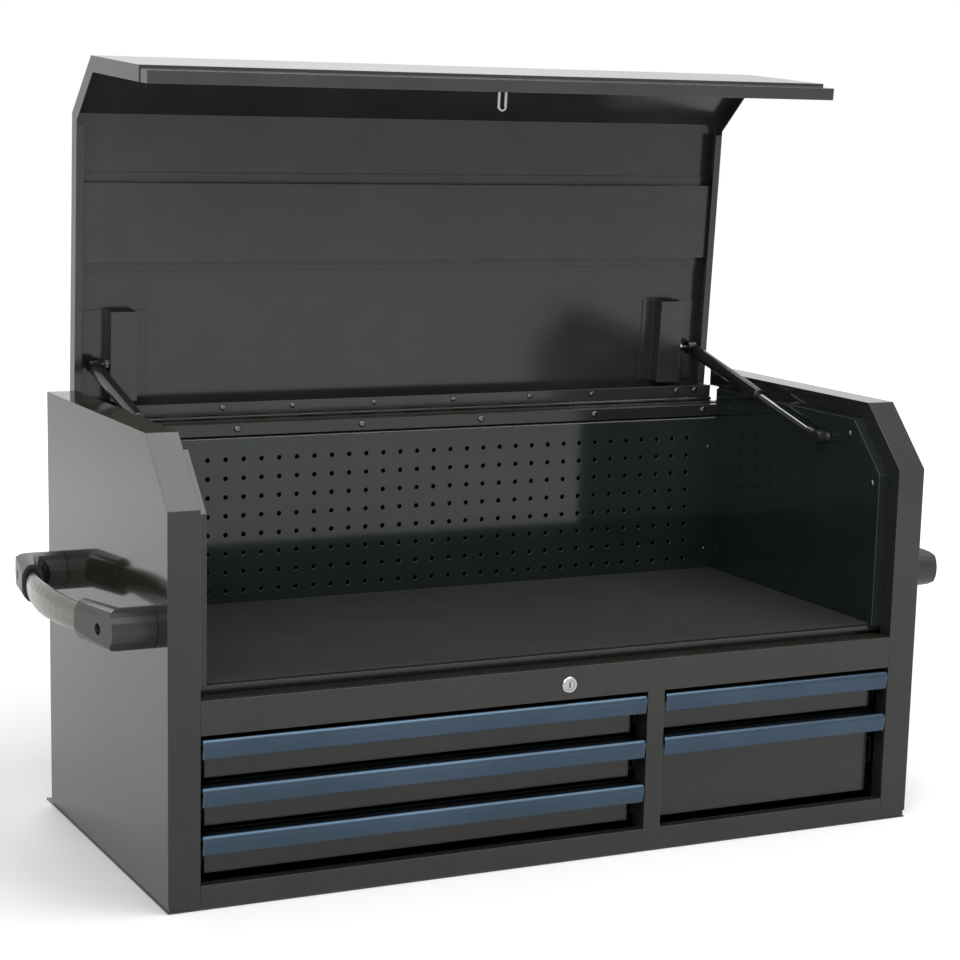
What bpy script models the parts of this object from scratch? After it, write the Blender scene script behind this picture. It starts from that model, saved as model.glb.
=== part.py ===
"""Top tool chest: sheet-steel cabinet, hinged lid on gas struts, five drawers on ball-bearing slides.

Metres, +Z up, front towards -Y. The origin is the centre of the base's underside.
The lid stands open: its pieces are modelled closed and turned about the hinge.
"""

import math

import bmesh
import bpy
from mathutils import Matrix, Vector

# Overall sizes
WIDTH = 1.042
DEPTH = 0.477
HEIGHT = 0.554
SHEET = 0.0012
GAP = 0.0003
OVERRUN = 0.004
LEFT = -WIDTH / 2
RIGHT = WIDTH / 2
FRONT = -DEPTH / 2
BACK = DEPTH / 2

# Side shells
POST_WIDTH = 0.0396
CHAMFER_RISE = 0.0793
CHAMFER_RUN = 0.0772
RETURN_DEPTH = 0.0224
REAR_FLANGE = 0.0245
SIDE_LIFT = 0.0090
FOOT_NOTCH = 0.0290

# Base
BASE_FLANGE = 0.0200
BASE_TAIL = 0.0265

# Front frame
TOP_RAIL_TOP = 0.2515
TOP_RAIL_HEIGHT = 0.0413
BOTTOM_RAIL_TOP = 0.0294
RAIL_RETURN = 0.0150
RAIL_LEDGE = 0.0388
MULLION_WIDTH = 0.0237
MULLION_RETURN = 0.0290
RIGHT_BANK = 0.3435
FRAME_SEAM = 0.0008

# Till
FLOOR_LIFT = 0.0097
FLOOR_SET_BACK = 0.0264
FLOOR_FLANGE = 0.0062
MAT_THICKNESS = 0.0040
MAT_EDGE_GAP = 0.0006
LINER_DEPTH = 0.0149
PEG_SET_IN = 0.0434
PEG_FLANGE = 0.0150
PEG_DROP = 0.0197
REAR_LEDGE_DROP = 0.0455
REAR_LEDGE_FLANGE = 0.0158

# Hinge
HINGE_RADIUS = 0.0030
HINGE_SET_IN = 0.0032
LEAF_WIDTH = 0.0200
KNUCKLES = 25
KNUCKLE_GAP = 0.0004
KNUCKLE_CURL_DEG = 290
OPEN_ANGLE = 86.5

# Lid
LID_SIDE_GAP = 0.0009
LID_INSET = 0.0020
LID_FLANGE = 0.0200
LID_LIP = 0.0100
LID_LIFT = 0.0058
GRIP_HEIGHT = 0.0277
GRIP_SET_BACK = 0.0045
CHANNEL_PLACE_SHARE = 0.4556
CHANNEL_WIDTH = 0.1014
CHANNEL_HEIGHT = 0.0110
CHANNEL_FLANGE = 0.0140
BRACKET_LEFT = 0.0892
BRACKET_WIDTH = 0.0340
BRACKET_HEIGHT = 0.0220
BRACKET_OUTER_FLANGE = 0.0335
BRACKET_INNER_FLANGE = 0.0200
BRACKET_REACH = 0.1422
BRACKET_LENGTH = 0.1185
CATCH_ROD = 0.0020
CATCH_SPREAD = 0.0095
CATCH_LENGTH = 0.0430
CATCH_LIFT = 0.0316

# Gas struts
STRUT_PLANE = 0.0660
STUD_REACH = 0.3224
STUD_DROP = 0.0548
LID_PIVOT_REACH = 0.0727
LID_PIVOT_DROP = 0.0139
ROD_RADIUS = 0.0040
CYLINDER_RADIUS = 0.0090
CYLINDER_START = 0.1560
BORE_DEPTH = 0.1350
ROD_INSERTION = 0.0180
EYE_RADIUS = 0.0095
EYE_WIDTH = 0.0120
STUD_RADIUS = 0.0045
STUD_FOOT_RADIUS = 0.0080
STUD_FOOT_HEIGHT = 0.0020
LID_STUD_RADIUS = 0.0040

# Lock
LOCK_DROP = 0.0224
LOCK_RIM_RADIUS = 0.0105
LOCK_RIM_HEIGHT = 0.0025
LOCK_BODY_RADIUS = 0.0090
LOCK_LENGTH = 0.0200
PLUG_RADIUS = 0.0060
PLUG_FACE_SET_BACK = 0.0006
KEYWAY_WIDTH = 0.0018
KEYWAY_HEIGHT = 0.0078
KEYWAY_DEPTH = 0.0120
CAM_LENGTH = 0.0260
CAM_WIDTH = 0.0120
CAM_THICKNESS = 0.0025

# Drawers: each bank from the bottom up, and each front's share of its bank's height
BANKS = {"left": (3, 2, 1), "right": (5, 4)}
FRONT_HEIGHT_SHARES = {1: 1 / 3, 2: 1 / 3, 3: 1 / 3, 4: 0.32, 5: 0.68}
DRAWER_TOP_GAP = 0.0040
DRAWER_BOTTOM_GAP = 0.0077
DRAWER_GAP = 0.0051
DRAWER_SET_BACK = 0.0224
DRAWER_BACK_GAP = 0.0506
DRAWER_WALL = 0.0010
DRAWER_SIDE_DROP = 0.0060
PULL_SIDE_GAP = 0.0027
PULL_HEIGHT = 0.0244
PULL_WALL = 0.0020
PULL_LEG = 0.0120
PULL_BULGE = 0.0030
PULL_NOSE = 0.0085
PULL_FOOT_SET_BACK = 0.0030

# Slides
SLIDE_DEPTH = 0.0127
SLIDE_HEIGHT = 0.0360
SLIDE_SET_BACK = 0.0010
SLIDE_BACK_GAP = 0.0520
SLIDE_PLAY = 0.0005
SLIDE_DROP = 0.0025
CHANNEL_REACH = 0.0117

# Slide uprights
UPRIGHT_WIDTH = 0.0300
UPRIGHT_INSET = 0.0180

# Side handles
HANDLE_DROP = 0.2234
HANDLE_FRONT = 0.0576
HANDLE_BACK_GAP = 0.0610
ARM_RADIUS = 0.0250
ARM_REACH = 0.0423
SLEEVE_LENGTH = 0.0707
SLEEVE_RISE = 0.0167
MOUTH_WIDTH = 0.0286
MOUTH_HEIGHT = 0.0490
MOUTH_RIM = 0.0030
MOUTH_RECESS = 0.0060
SOCKET_DEPTH = 0.0160
FACET_REACH = 0.0546
FACET_TURN_DEG = 10.5
BOLT_HOLE_RADIUS = 0.0070
BOLT_HOLE_OFFSET = 0.0100
BOLT_HOLE_DEPTH = 0.0150
BAR_END_WIDTH = 0.0166
BAR_END_HEIGHT = 0.0320
BAR_WIDTH = 0.0210
BAR_HEIGHT = 0.0400
BAR_STEPS = 12
HANDLE_SIDES = 20

# Derived levels
FOOT_LEVEL = SHEET + GAP
OPENING_TOP = TOP_RAIL_TOP - TOP_RAIL_HEIGHT
FLOOR_TOP = TOP_RAIL_TOP + FLOOR_LIFT + GAP + SHEET
LOCK_HEIGHT = TOP_RAIL_TOP - LOCK_DROP
LID_BOTTOM = TOP_RAIL_TOP + LID_LIFT
CATCH_HEIGHT = LID_BOTTOM + CATCH_LIFT
REAR_LEDGE_TOP = HEIGHT - REAR_LEDGE_DROP
PEG_TOP = REAR_LEDGE_TOP - PEG_DROP
HINGE_Z = REAR_LEDGE_TOP + GAP + HINGE_RADIUS
LID_INSIDE = HEIGHT - LID_INSET - SHEET - GAP
STUD_Z = HEIGHT - STUD_DROP
LID_PIVOT_Z = LID_INSIDE - LID_PIVOT_DROP
HANDLE_HEIGHT = HEIGHT - HANDLE_DROP

# Derived depths
INNER_BACK = BACK - SHEET - GAP
HINGE_Y = BACK - HINGE_SET_IN
PEG_Y = BACK - PEG_SET_IN
STUD_Y = HINGE_Y - STUD_REACH
LID_PIVOT_Y = HINGE_Y - LID_PIVOT_REACH
DRAWER_FRONT = FRONT + DRAWER_SET_BACK
DRAWER_BACK = BACK - DRAWER_BACK_GAP
SLIDE_FRONT = FRONT + MULLION_RETURN + SLIDE_SET_BACK
SLIDE_BACK = BACK - SLIDE_BACK_GAP

# Derived places across
LID_LEFT = LEFT + POST_WIDTH + LID_SIDE_GAP
LID_RIGHT = -LID_LEFT
INNER_LEFT = LEFT + SHEET + GAP
LINER_FACE = LEFT + POST_WIDTH + GAP + LINER_DEPTH
MULLION_RIGHT = RIGHT - POST_WIDTH - RIGHT_BANK
MULLION_LEFT = MULLION_RIGHT - MULLION_WIDTH
KNUCKLE_PITCH = (LID_RIGHT - LID_LEFT) / KNUCKLES


def make_material(name, colour, roughness, metallic=0.0, coat=0.0):
    material = bpy.data.materials.new(name)
    material.use_nodes = True
    shader = material.node_tree.nodes["Principled BSDF"]
    shader.inputs["Base Color"].default_value = (*colour, 1.0)
    shader.inputs["Roughness"].default_value = roughness
    shader.inputs["Metallic"].default_value = metallic
    shader.inputs["Coat Weight"].default_value = coat
    material.diffuse_color = (*colour, 1.0)
    return material


def link_mesh(name, mesh, material):
    """Put a mesh in the scene under a sub-part's name."""
    piece = bpy.data.objects.new(name, mesh)
    piece.data.name = name
    piece.data.materials.clear()
    piece.data.materials.append(material)
    bpy.context.scene.collection.objects.link(piece)
    return piece


def closed_mesh(vertices, faces):
    """A mesh from points and faces, its faces turned outwards."""
    mesh = bpy.data.meshes.new("piece")
    mesh.from_pydata(vertices, [], faces)
    shape = bmesh.new()
    shape.from_mesh(mesh)
    bmesh.ops.recalc_face_normals(shape, faces=shape.faces)
    shape.to_mesh(mesh)
    shape.free()
    return mesh


def place(axis, along, across, up):
    """A point whose first number runs along the axis and whose others follow in X, Y, Z order."""
    order = {"X": (along, across, up), "Y": (across, along, up), "Z": (across, up, along)}
    return order[axis]


def prism(name, axis, outline, start, end, material):
    """Extrude a flat outline along an axis. The outline's pairs are the other two axes in order."""
    count = len(outline)
    vertices = [place(axis, start, a, b) for a, b in outline]
    vertices += [place(axis, end, a, b) for a, b in outline]
    faces = [tuple(range(count)), tuple(range(2 * count - 1, count - 1, -1))]
    faces += [(i, (i + 1) % count, count + (i + 1) % count, count + i) for i in range(count)]
    return link_mesh(name, closed_mesh(vertices, faces), material)


def block(name, low, high, material):
    """A box between two corners."""
    outline = [(low[1], low[2]), (high[1], low[2]), (high[1], high[2]), (low[1], high[2])]
    return prism(name, "X", outline, low[0], high[0], material)


def circle(radius, sides):
    """Corners of a regular polygon whose flat sides face both axes."""
    angles = [math.tau * (i + 0.5) / sides for i in range(sides)]
    return [(radius * math.cos(a), radius * math.sin(a)) for a in angles]


def arc(centre, radius, start_deg, end_deg, steps):
    """Points along a round stretch of an outline."""
    angles = [math.radians(start_deg + (end_deg - start_deg) * i / steps) for i in range(steps + 1)]
    return [(centre[0] + radius * math.cos(a), centre[1] + radius * math.sin(a)) for a in angles]


def line_crossing(first, second):
    """Where two lines, each a point and a direction, cross."""
    (p, d), (q, e) = first, second
    denominator = d.x * e.y - d.y * e.x
    if math.isclose(denominator, 0.0, abs_tol=math.ulp(1.0)):
        return q
    step = ((q - p).x * e.y - (q - p).y * e.x) / denominator
    return p + d * step


def shifted_lines(points, distances):
    """Each stretch between neighbouring points, moved to its left by its own distance."""
    lines = []
    for (start, end), distance in zip(points, distances):
        start, end = Vector(start), Vector(end)
        direction = (end - start).normalized()
        normal = Vector((-direction.y, direction.x))
        lines.append((start + normal * distance, direction))
    return lines


def offset_path(path, distance, start_trim=0.0, end_trim=0.0):
    """An open path moved to its left, with mitred corners and shortened ends."""
    stretches = list(zip(path, path[1:]))
    lines = shifted_lines(stretches, [distance] * len(stretches))
    first_point, first_direction = lines[0]
    points = [first_point + first_direction * start_trim]
    points += [line_crossing(a, b) for a, b in zip(lines, lines[1:])]
    last_point, last_direction = lines[-1]
    length = (Vector(path[-1]) - Vector(path[-2])).length
    points.append(last_point + last_direction * (length - end_trim))
    return [tuple(point) for point in points]


def offset_outline(outline, distances):
    """A closed outline, run anticlockwise, whose sides move inwards by a distance each."""
    stretches = list(zip(outline, outline[1:] + outline[:1]))
    lines = shifted_lines(stretches, distances)
    return [tuple(line_crossing(a, b)) for a, b in zip(lines[-1:] + lines[:-1], lines)]


def folded_sheet(path, thickness=SHEET):
    """The section of sheet metal folded along a path, its thickness on the path's left."""
    return list(path) + offset_path(path, thickness)[::-1]


def evaluated_copy(piece):
    """The mesh of a piece with its modifiers worked in."""
    bpy.context.view_layer.update()
    graph = bpy.context.evaluated_depsgraph_get()
    return bpy.data.meshes.new_from_object(piece.evaluated_get(graph))


def combine(piece, other, operation):
    """Cut another solid out of a piece, or join it on, and clear the other away."""
    boolean = piece.modifiers.new(operation, "BOOLEAN")
    boolean.operation = operation
    boolean.solver = "EXACT"
    boolean.object = other
    mesh = evaluated_copy(piece)
    piece.modifiers.clear()
    piece.data = mesh
    bpy.data.objects.remove(other)
    return piece


def cut(piece, cutter):
    return combine(piece, cutter, "DIFFERENCE")


def join(piece, other):
    return combine(piece, other, "UNION")


def mirrored(piece, name):
    """The same piece for the other side of the chest."""
    mesh = piece.data.copy()
    mesh.transform(Matrix.Scale(-1, 4, (1, 0, 0)))
    mesh.flip_normals()
    return link_mesh(name, mesh, piece.data.materials[0])


def smooth(piece, angle_deg=40):
    """Shade the round parts of a piece smooth."""
    piece.data.shade_smooth()
    piece.data.set_sharp_from_angle(angle=math.radians(angle_deg))
    return piece


def oval_along(name, centres, sizes, sides, up, material):
    """An oval bar swept along points in one plane, whose normal is up. Sizes are pairs of half-widths."""
    points = [Vector(point) for point in centres]
    vertices = []
    for index, (point, (across, height)) in enumerate(zip(points, sizes)):
        before = (point - points[max(index - 1, 0)]).normalized()
        after = (points[min(index + 1, len(points) - 1)] - point).normalized()
        middle = (before + after).normalized()
        mitre = max(middle.dot(before), middle.dot(after))
        side = middle.cross(up) / mitre
        for a, b in circle(1, sides):
            vertices.append(point + side * across * a + up * height * b)
    count = len(points)
    faces = [tuple(range(sides)), tuple(range(count * sides - 1, (count - 1) * sides - 1, -1))]
    for ring in range(count - 1):
        for i in range(sides):
            a, b = ring * sides + i, ring * sides + (i + 1) % sides
            faces.append((a, b, b + sides, a + sides))
    return smooth(link_mesh(name, closed_mesh(vertices, faces), material))


def tube_along(name, centres, radii, sides, up, material):
    """A round bar swept along points in one plane, whose normal is up."""
    return oval_along(name, centres, [(radius, radius) for radius in radii], sides, up, material)


def turned(name, axis, centre, profile, sides, material):
    """A turned piece: pairs of distance along the axis and radius, closed at both ends."""
    vertices = []
    for along, radius in profile:
        for a, b in circle(radius, sides):
            vertices.append(Vector(centre) + Vector(place(axis, along, a, b)))
    count = len(profile)
    faces = [tuple(range(sides)), tuple(range(count * sides - 1, (count - 1) * sides - 1, -1))]
    for ring in range(count - 1):
        for i in range(sides):
            a, b = ring * sides + i, ring * sides + (i + 1) % sides
            faces.append((a, b, b + sides, a + sides))
    return smooth(link_mesh(name, closed_mesh(vertices, faces), material))


def side_outline(bottom):
    """The side of the cabinet, seen along X: front bottom first, anticlockwise in Y and Z."""
    return [
        (FRONT, bottom),
        (BACK, bottom),
        (BACK, HEIGHT),
        (FRONT + CHAMFER_RUN, HEIGHT),
        (FRONT, HEIGHT - CHAMFER_RISE),
    ]


def make_side_shell(material):
    """Outer side, front post, chamfer and top folded from one sheet, open to the inside."""
    outline = side_outline(FOOT_LEVEL)
    shell = prism("side_shell_left", "X", outline, LEFT, LEFT + POST_WIDTH, material)
    pocket = offset_outline(outline, [-OVERRUN, SHEET, SHEET, SHEET, SHEET])
    cut(shell, prism("pocket", "X", pocket, LEFT + SHEET, LEFT + POST_WIDTH - SHEET, material))
    inside = offset_outline(outline, [-OVERRUN, -OVERRUN, RETURN_DEPTH, RETURN_DEPTH, RETURN_DEPTH])
    cut(shell, prism("inside", "X", inside, LEFT + REAR_FLANGE, LEFT + POST_WIDTH + OVERRUN, material))
    notch = [
        (LEFT - OVERRUN, FOOT_LEVEL - OVERRUN),
        (LEFT + FOOT_NOTCH, FOOT_LEVEL - OVERRUN),
        (LEFT + FOOT_NOTCH, FOOT_LEVEL),
        (LEFT + SHEET, SIDE_LIFT),
        (LEFT - OVERRUN, SIDE_LIFT),
    ]
    return cut(shell, prism("notch", "Y", notch, FRONT - OVERRUN, BACK + OVERRUN, material))


def make_base_pan(material):
    """Floor of the cabinet: a plate under the sides with a tail behind the back, and a rim inside them."""
    pan = block("base_pan", (LEFT, FRONT, 0), (RIGHT, BACK + BASE_TAIL, SHEET), material)
    front = FRONT + SHEET + GAP
    back = INNER_BACK - SHEET - GAP
    rim = block("rim", (INNER_LEFT, front, SHEET / 2), (-INNER_LEFT, back, BASE_FLANGE), material)
    low = (INNER_LEFT + SHEET, front + SHEET, 0)
    high = (-INNER_LEFT - SHEET, back + OVERRUN, BASE_FLANGE + OVERRUN)
    cut(rim, block("pocket", low, high, material))
    join(pan, rim)
    post = LEFT + POST_WIDTH
    for near, far in ((post - SHEET - GAP, post + GAP), (-post - GAP, -post + SHEET + GAP)):
        low = (near, FRONT, SHEET)
        high = (far, FRONT + RETURN_DEPTH + GAP, BASE_FLANGE + OVERRUN)
        cut(pan, block("post slot", low, high, material))
    return pan


def make_back_panel(material):
    """Flat back, spot-welded inside the side shells' rear flanges."""
    low = (INNER_LEFT, INNER_BACK - SHEET, SHEET + GAP)
    return block("back_panel", low, (-INNER_LEFT, INNER_BACK, REAR_LEDGE_TOP), material)


def make_face_frame(material):
    """Top rail with its ledge, bottom rail and mullion, welded into one frame."""
    left = LEFT + POST_WIDTH + FRAME_SEAM
    top_path = [
        (FRONT + RAIL_LEDGE, TOP_RAIL_TOP + FLOOR_LIFT),
        (FRONT + RAIL_LEDGE, TOP_RAIL_TOP),
        (FRONT, TOP_RAIL_TOP),
        (FRONT, OPENING_TOP),
        (FRONT + RAIL_RETURN, OPENING_TOP),
    ]
    frame = prism("face_frame", "X", folded_sheet(top_path), left, -left, material)
    bottom_path = [
        (FRONT + RAIL_RETURN, BOTTOM_RAIL_TOP),
        (FRONT, BOTTOM_RAIL_TOP),
        (FRONT, FOOT_LEVEL),
    ]
    mullion_path = [
        (MULLION_RIGHT, FRONT + MULLION_RETURN),
        (MULLION_RIGHT, FRONT),
        (MULLION_LEFT, FRONT),
        (MULLION_LEFT, FRONT + MULLION_RETURN),
    ]
    section = folded_sheet(mullion_path, -SHEET)
    foot, head = BOTTOM_RAIL_TOP - SHEET / 2, TOP_RAIL_TOP - SHEET / 2
    join(frame, prism("mullion", "Z", section, foot, head, material))
    join(frame, prism("bottom rail", "X", folded_sheet(bottom_path), left, -left, material))
    hole = turned("hole", "Y", (0, FRONT, LOCK_HEIGHT),
                  [(-OVERRUN, LOCK_BODY_RADIUS + GAP), (OVERRUN, LOCK_BODY_RADIUS + GAP)], 24, material)
    return cut(frame, hole)


def cabinet_channel(edge, inwards, level):
    """Section of a slide's cabinet member: edge is the opening's side, inwards points to the drawer."""
    half = SLIDE_HEIGHT / 2
    reach = edge + inwards * CHANNEL_REACH
    path = [(reach, level + half), (edge - inwards * SHEET / 2, level + half)]
    path += [(edge - inwards * SHEET / 2, level - half), (reach, level - half)]
    return folded_sheet(path, SHEET * inwards)


def bank_of(number):
    """The bank that holds a drawer."""
    return "left" if number in BANKS["left"] else "right"


def bank_edges(number):
    """Left and right sides of the opening that a drawer runs in."""
    if bank_of(number) == "left":
        return LEFT + POST_WIDTH, MULLION_LEFT
    return MULLION_RIGHT, RIGHT - POST_WIDTH


def drawer_levels(number):
    """Bottom and top of a drawer's front: the fronts of a bank share the height of its opening."""
    bank = BANKS[bank_of(number)]
    bottom = BOTTOM_RAIL_TOP + DRAWER_BOTTOM_GAP
    clear = OPENING_TOP - DRAWER_TOP_GAP - bottom - DRAWER_GAP * (len(bank) - 1)
    for lower in bank[:bank.index(number)]:
        bottom += clear * FRONT_HEIGHT_SHARES[lower] + DRAWER_GAP
    return bottom, bottom + clear * FRONT_HEIGHT_SHARES[number]


def slide_level(number):
    """Height of a drawer's slides."""
    return sum(drawer_levels(number)) / 2 - SLIDE_DROP


def add_cabinet_members(piece, numbers, edge, inwards, material):
    """Slide members riveted to what stands beside a bank of drawers."""
    for number in numbers:
        section = cabinet_channel(edge, inwards, slide_level(number))
        join(piece, prism("member", "Y", section, SLIDE_FRONT, SLIDE_BACK, material))
    return piece


def make_upright(name, edge, inwards, numbers, material):
    """Two channels that stand beside a bank and the slide members that they carry."""
    outer = edge - inwards * (POST_WIDTH - SHEET - GAP - SHEET - GAP)
    section = cabinet_channel(edge, inwards, slide_level(numbers[0]))
    rack = prism(name, "Y", section, SLIDE_FRONT, SLIDE_BACK, material)
    add_cabinet_members(rack, numbers[1:], edge, inwards, material)
    for near in (SLIDE_FRONT + UPRIGHT_INSET, SLIDE_BACK - UPRIGHT_INSET - UPRIGHT_WIDTH):
        path = [(outer, near), (edge, near), (edge, near + UPRIGHT_WIDTH), (outer, near + UPRIGHT_WIDTH)]
        section = folded_sheet(path, SHEET * inwards)
        top = TOP_RAIL_TOP + FLOOR_LIFT
        join(rack, prism("channel", "Z", section, SHEET + GAP, top, material))
    return rack


def make_centre_partition(material):
    """Folded wall between the banks, open at the front behind the mullion."""
    near = FRONT + RAIL_LEDGE + SHEET + GAP
    far = SLIDE_BACK + UPRIGHT_INSET
    path = [(MULLION_RIGHT, near), (MULLION_RIGHT, far), (MULLION_LEFT, far), (MULLION_LEFT, near)]
    top = TOP_RAIL_TOP + FLOOR_LIFT
    wall = prism("centre_partition", "Z", folded_sheet(path), SHEET + GAP, top, material)
    add_cabinet_members(wall, BANKS["left"], MULLION_LEFT, -1, material)
    return add_cabinet_members(wall, BANKS["right"], MULLION_RIGHT, 1, material)


def make_till_floor(material):
    """Floor of the till, with its front edge turned down over the rail."""
    path = [
        (INNER_BACK - SHEET - GAP, FLOOR_TOP),
        (FRONT + FLOOR_SET_BACK, FLOOR_TOP),
        (FRONT + FLOOR_SET_BACK, FLOOR_TOP - FLOOR_FLANGE),
    ]
    return prism("till_floor", "X", folded_sheet(path), INNER_LEFT, -INNER_LEFT, material)


def make_floor_mat(material):
    """Cut sheet of foam rubber that lies on the till floor."""
    low = (LINER_FACE + MAT_EDGE_GAP, FRONT + FLOOR_SET_BACK + MAT_EDGE_GAP, FLOOR_TOP + GAP)
    high = (-LINER_FACE - MAT_EDGE_GAP, PEG_Y - MAT_EDGE_GAP, FLOOR_TOP + GAP + MAT_THICKNESS)
    return block("floor_mat", low, high, material)


def make_side_liner(material):
    """Inner side of the till, a shallow tray that is open towards the side shell."""
    inset = [0, 0, RETURN_DEPTH, RETURN_DEPTH, RETURN_DEPTH]
    outline = offset_outline(side_outline(FLOOR_TOP + GAP), inset)
    rear = PEG_Y - GAP
    outline[1] = (rear, outline[1][1])
    outline[2] = (rear, outline[2][1])
    outer = LINER_FACE - LINER_DEPTH
    liner = prism("side_liner_left", "X", outline, outer, LINER_FACE, material)
    pocket = offset_outline(outline, [SHEET] * len(outline))
    return cut(liner, prism("pocket", "X", pocket, outer - OVERRUN, LINER_FACE - SHEET, material))


def make_peg_back(material):
    """False back of the till, flanged to the rear on all four sides."""
    left = LEFT + POST_WIDTH + GAP
    bottom = FLOOR_TOP + GAP
    panel = block("peg_back", (left, PEG_Y, bottom), (-left, PEG_Y + PEG_FLANGE, PEG_TOP), material)
    low = (left + SHEET, PEG_Y + SHEET, bottom + SHEET)
    high = (-left - SHEET, PEG_Y + PEG_FLANGE + OVERRUN, PEG_TOP - SHEET)
    return cut(panel, block("pocket", low, high, material))


def make_rear_rail(material):
    """Ledge along the back that carries the lid's hinge."""
    left = LEFT + POST_WIDTH + GAP
    far = INNER_BACK - SHEET - GAP
    path = [
        (far, REAR_LEDGE_TOP - REAR_LEDGE_FLANGE),
        (far, REAR_LEDGE_TOP),
        (PEG_Y, REAR_LEDGE_TOP),
        (PEG_Y, REAR_LEDGE_TOP - REAR_LEDGE_FLANGE),
    ]
    return prism("rear_rail", "X", folded_sheet(path), left, -left, material)


def knuckle_section():
    """Leaf and curl of the fixed leaf, seen along X, with the pin's axis at the hinge line."""
    inner = HINGE_RADIUS - SHEET
    leaf_end = (HINGE_Y - LEAF_WIDTH, HINGE_Z - HINGE_RADIUS)
    centre = (HINGE_Y, HINGE_Z)
    outside = arc(centre, HINGE_RADIUS, -90, -90 + KNUCKLE_CURL_DEG, 9)
    inside = arc(centre, inner, -90 + KNUCKLE_CURL_DEG, -90, 9)
    return [leaf_end] + outside + inside + [(leaf_end[0], leaf_end[1] + SHEET)]


def make_leaf(name, section, parity, material):
    """A leaf of the piano hinge: the curl is cut away where the other leaf's knuckles go."""
    leaf = prism(name, "X", section, LID_LEFT, LID_RIGHT, material)
    near = HINGE_Y - HINGE_RADIUS - GAP
    far = HINGE_Y + HINGE_RADIUS + OVERRUN
    reach = HINGE_RADIUS + OVERRUN
    for index in range(KNUCKLES):
        if index % 2 == parity:
            continue
        low = LID_LEFT + index * KNUCKLE_PITCH - KNUCKLE_GAP
        high = LID_LEFT + (index + 1) * KNUCKLE_PITCH + KNUCKLE_GAP
        cutter = block("slot", (low, near, HINGE_Z - reach), (high, far, HINGE_Z + reach), material)
        cut(leaf, cutter)
    return smooth(leaf)


def make_hinge(material):
    """Piano hinge: two leaves with alternate knuckles on one pin. Hands back the leaf on the lid."""
    section = knuckle_section()
    make_leaf("hinge_fixed_leaf", section, 0, material)
    flipped = [(y, 2 * HINGE_Z - z) for y, z in section]
    moving = make_leaf("hinge_lid_leaf", flipped, 1, material)
    radius = HINGE_RADIUS - SHEET - GAP
    ends = [(LID_LEFT, radius), (LID_RIGHT, radius)]
    turned("hinge_pin", "X", (0, HINGE_Y, HINGE_Z), ends, 12, material)
    return moving


def lid_paths():
    """The closed lid's section: its outer path, stepped in at the grip, and the path without the step."""
    inset = offset_outline(side_outline(LID_BOTTOM), [0, LID_INSET, LID_INSET, LID_INSET, LID_INSET])
    hinge_end = (inset[1][0], HINGE_Z + HINGE_RADIUS + GAP)
    plain = [inset[0], inset[4], inset[3], inset[2], hinge_end]
    face = inset[0][0]
    grip_top = LID_BOTTOM + GRIP_HEIGHT
    grip = [(face + GRIP_SET_BACK, LID_BOTTOM), (face + GRIP_SET_BACK, grip_top), (face, grip_top)]
    return grip + plain[1:], plain


def lid_band(path, near, far):
    """The strip of the lid's section between two depths under a path, above the grip."""
    start_trim = GRIP_HEIGHT + SHEET
    return offset_path(path, -near, start_trim, SHEET) + offset_path(path, -far, start_trim, SHEET)[::-1]


def make_lid_shell(material):
    """Lid folded from one sheet: skin, side walls with lips, set-back grip and hinge flange."""
    stepped, plain = lid_paths()
    skin = stepped + offset_path(plain, -LID_FLANGE)[::-1]
    lid = prism("lid_shell", "X", skin, LID_LEFT, LID_RIGHT, material)
    depth = LID_FLANGE - SHEET
    past = LID_FLANGE + OVERRUN
    cuts = (
        ("hollow", lid_band(plain, SHEET, depth), SHEET),
        ("opening", lid_band(plain, depth - SHEET, past), LID_LIP),
        ("front opening", lid_band(plain[:3], depth - SHEET, past), SHEET),
    )
    for name, outline, inset in cuts:
        cut(lid, prism(name, "X", outline, LID_LEFT + inset, LID_RIGHT - inset, material))
    face, back = stepped[0][0], plain[0][0] + past
    bottom, top = LID_BOTTOM + SHEET, LID_BOTTOM + GRIP_HEIGHT
    left = LID_LEFT + 2 * SHEET
    cut(lid, block("grip hollow", (left, face + SHEET, bottom), (-left, back, top + 2 * SHEET), material))
    bottom, front = LID_BOTTOM - OVERRUN, FRONT - OVERRUN
    for near, far in ((LID_LEFT - OVERRUN, LID_LEFT + SHEET), (LID_RIGHT - SHEET, LID_RIGHT + OVERRUN)):
        cut(lid, block("grip end", (near, front, bottom), (far, back, top), material))
    return lid


def make_lid_channel(material):
    """Hat-section stiffener across the inside of the lid."""
    top = LID_INSIDE
    middle = FRONT + DEPTH * CHANNEL_PLACE_SHARE
    near, far = middle - CHANNEL_WIDTH / 2, middle + CHANNEL_WIDTH / 2
    path = [
        (near - CHANNEL_FLANGE, top),
        (near, top),
        (near, top - CHANNEL_HEIGHT),
        (far, top - CHANNEL_HEIGHT),
        (far, top),
        (far + CHANNEL_FLANGE, top),
    ]
    start = LID_LEFT + SHEET + GAP
    return prism("lid_channel", "X", folded_sheet(path, -SHEET), start, -start, material)


def make_strut_bracket(material):
    """Hat-section box inside the lid that a gas strut pushes on."""
    top = LID_INSIDE
    near = LEFT + BRACKET_LEFT
    far = near + BRACKET_WIDTH
    path = [
        (near - BRACKET_OUTER_FLANGE, top),
        (near, top),
        (near, top - BRACKET_HEIGHT),
        (far, top - BRACKET_HEIGHT),
        (far, top),
        (far + BRACKET_INNER_FLANGE, top),
    ]
    start = HINGE_Y - BRACKET_REACH
    section = folded_sheet(path, -SHEET)
    return prism("strut_bracket_left", "Y", section, start, start + BRACKET_LENGTH, material)


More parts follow.
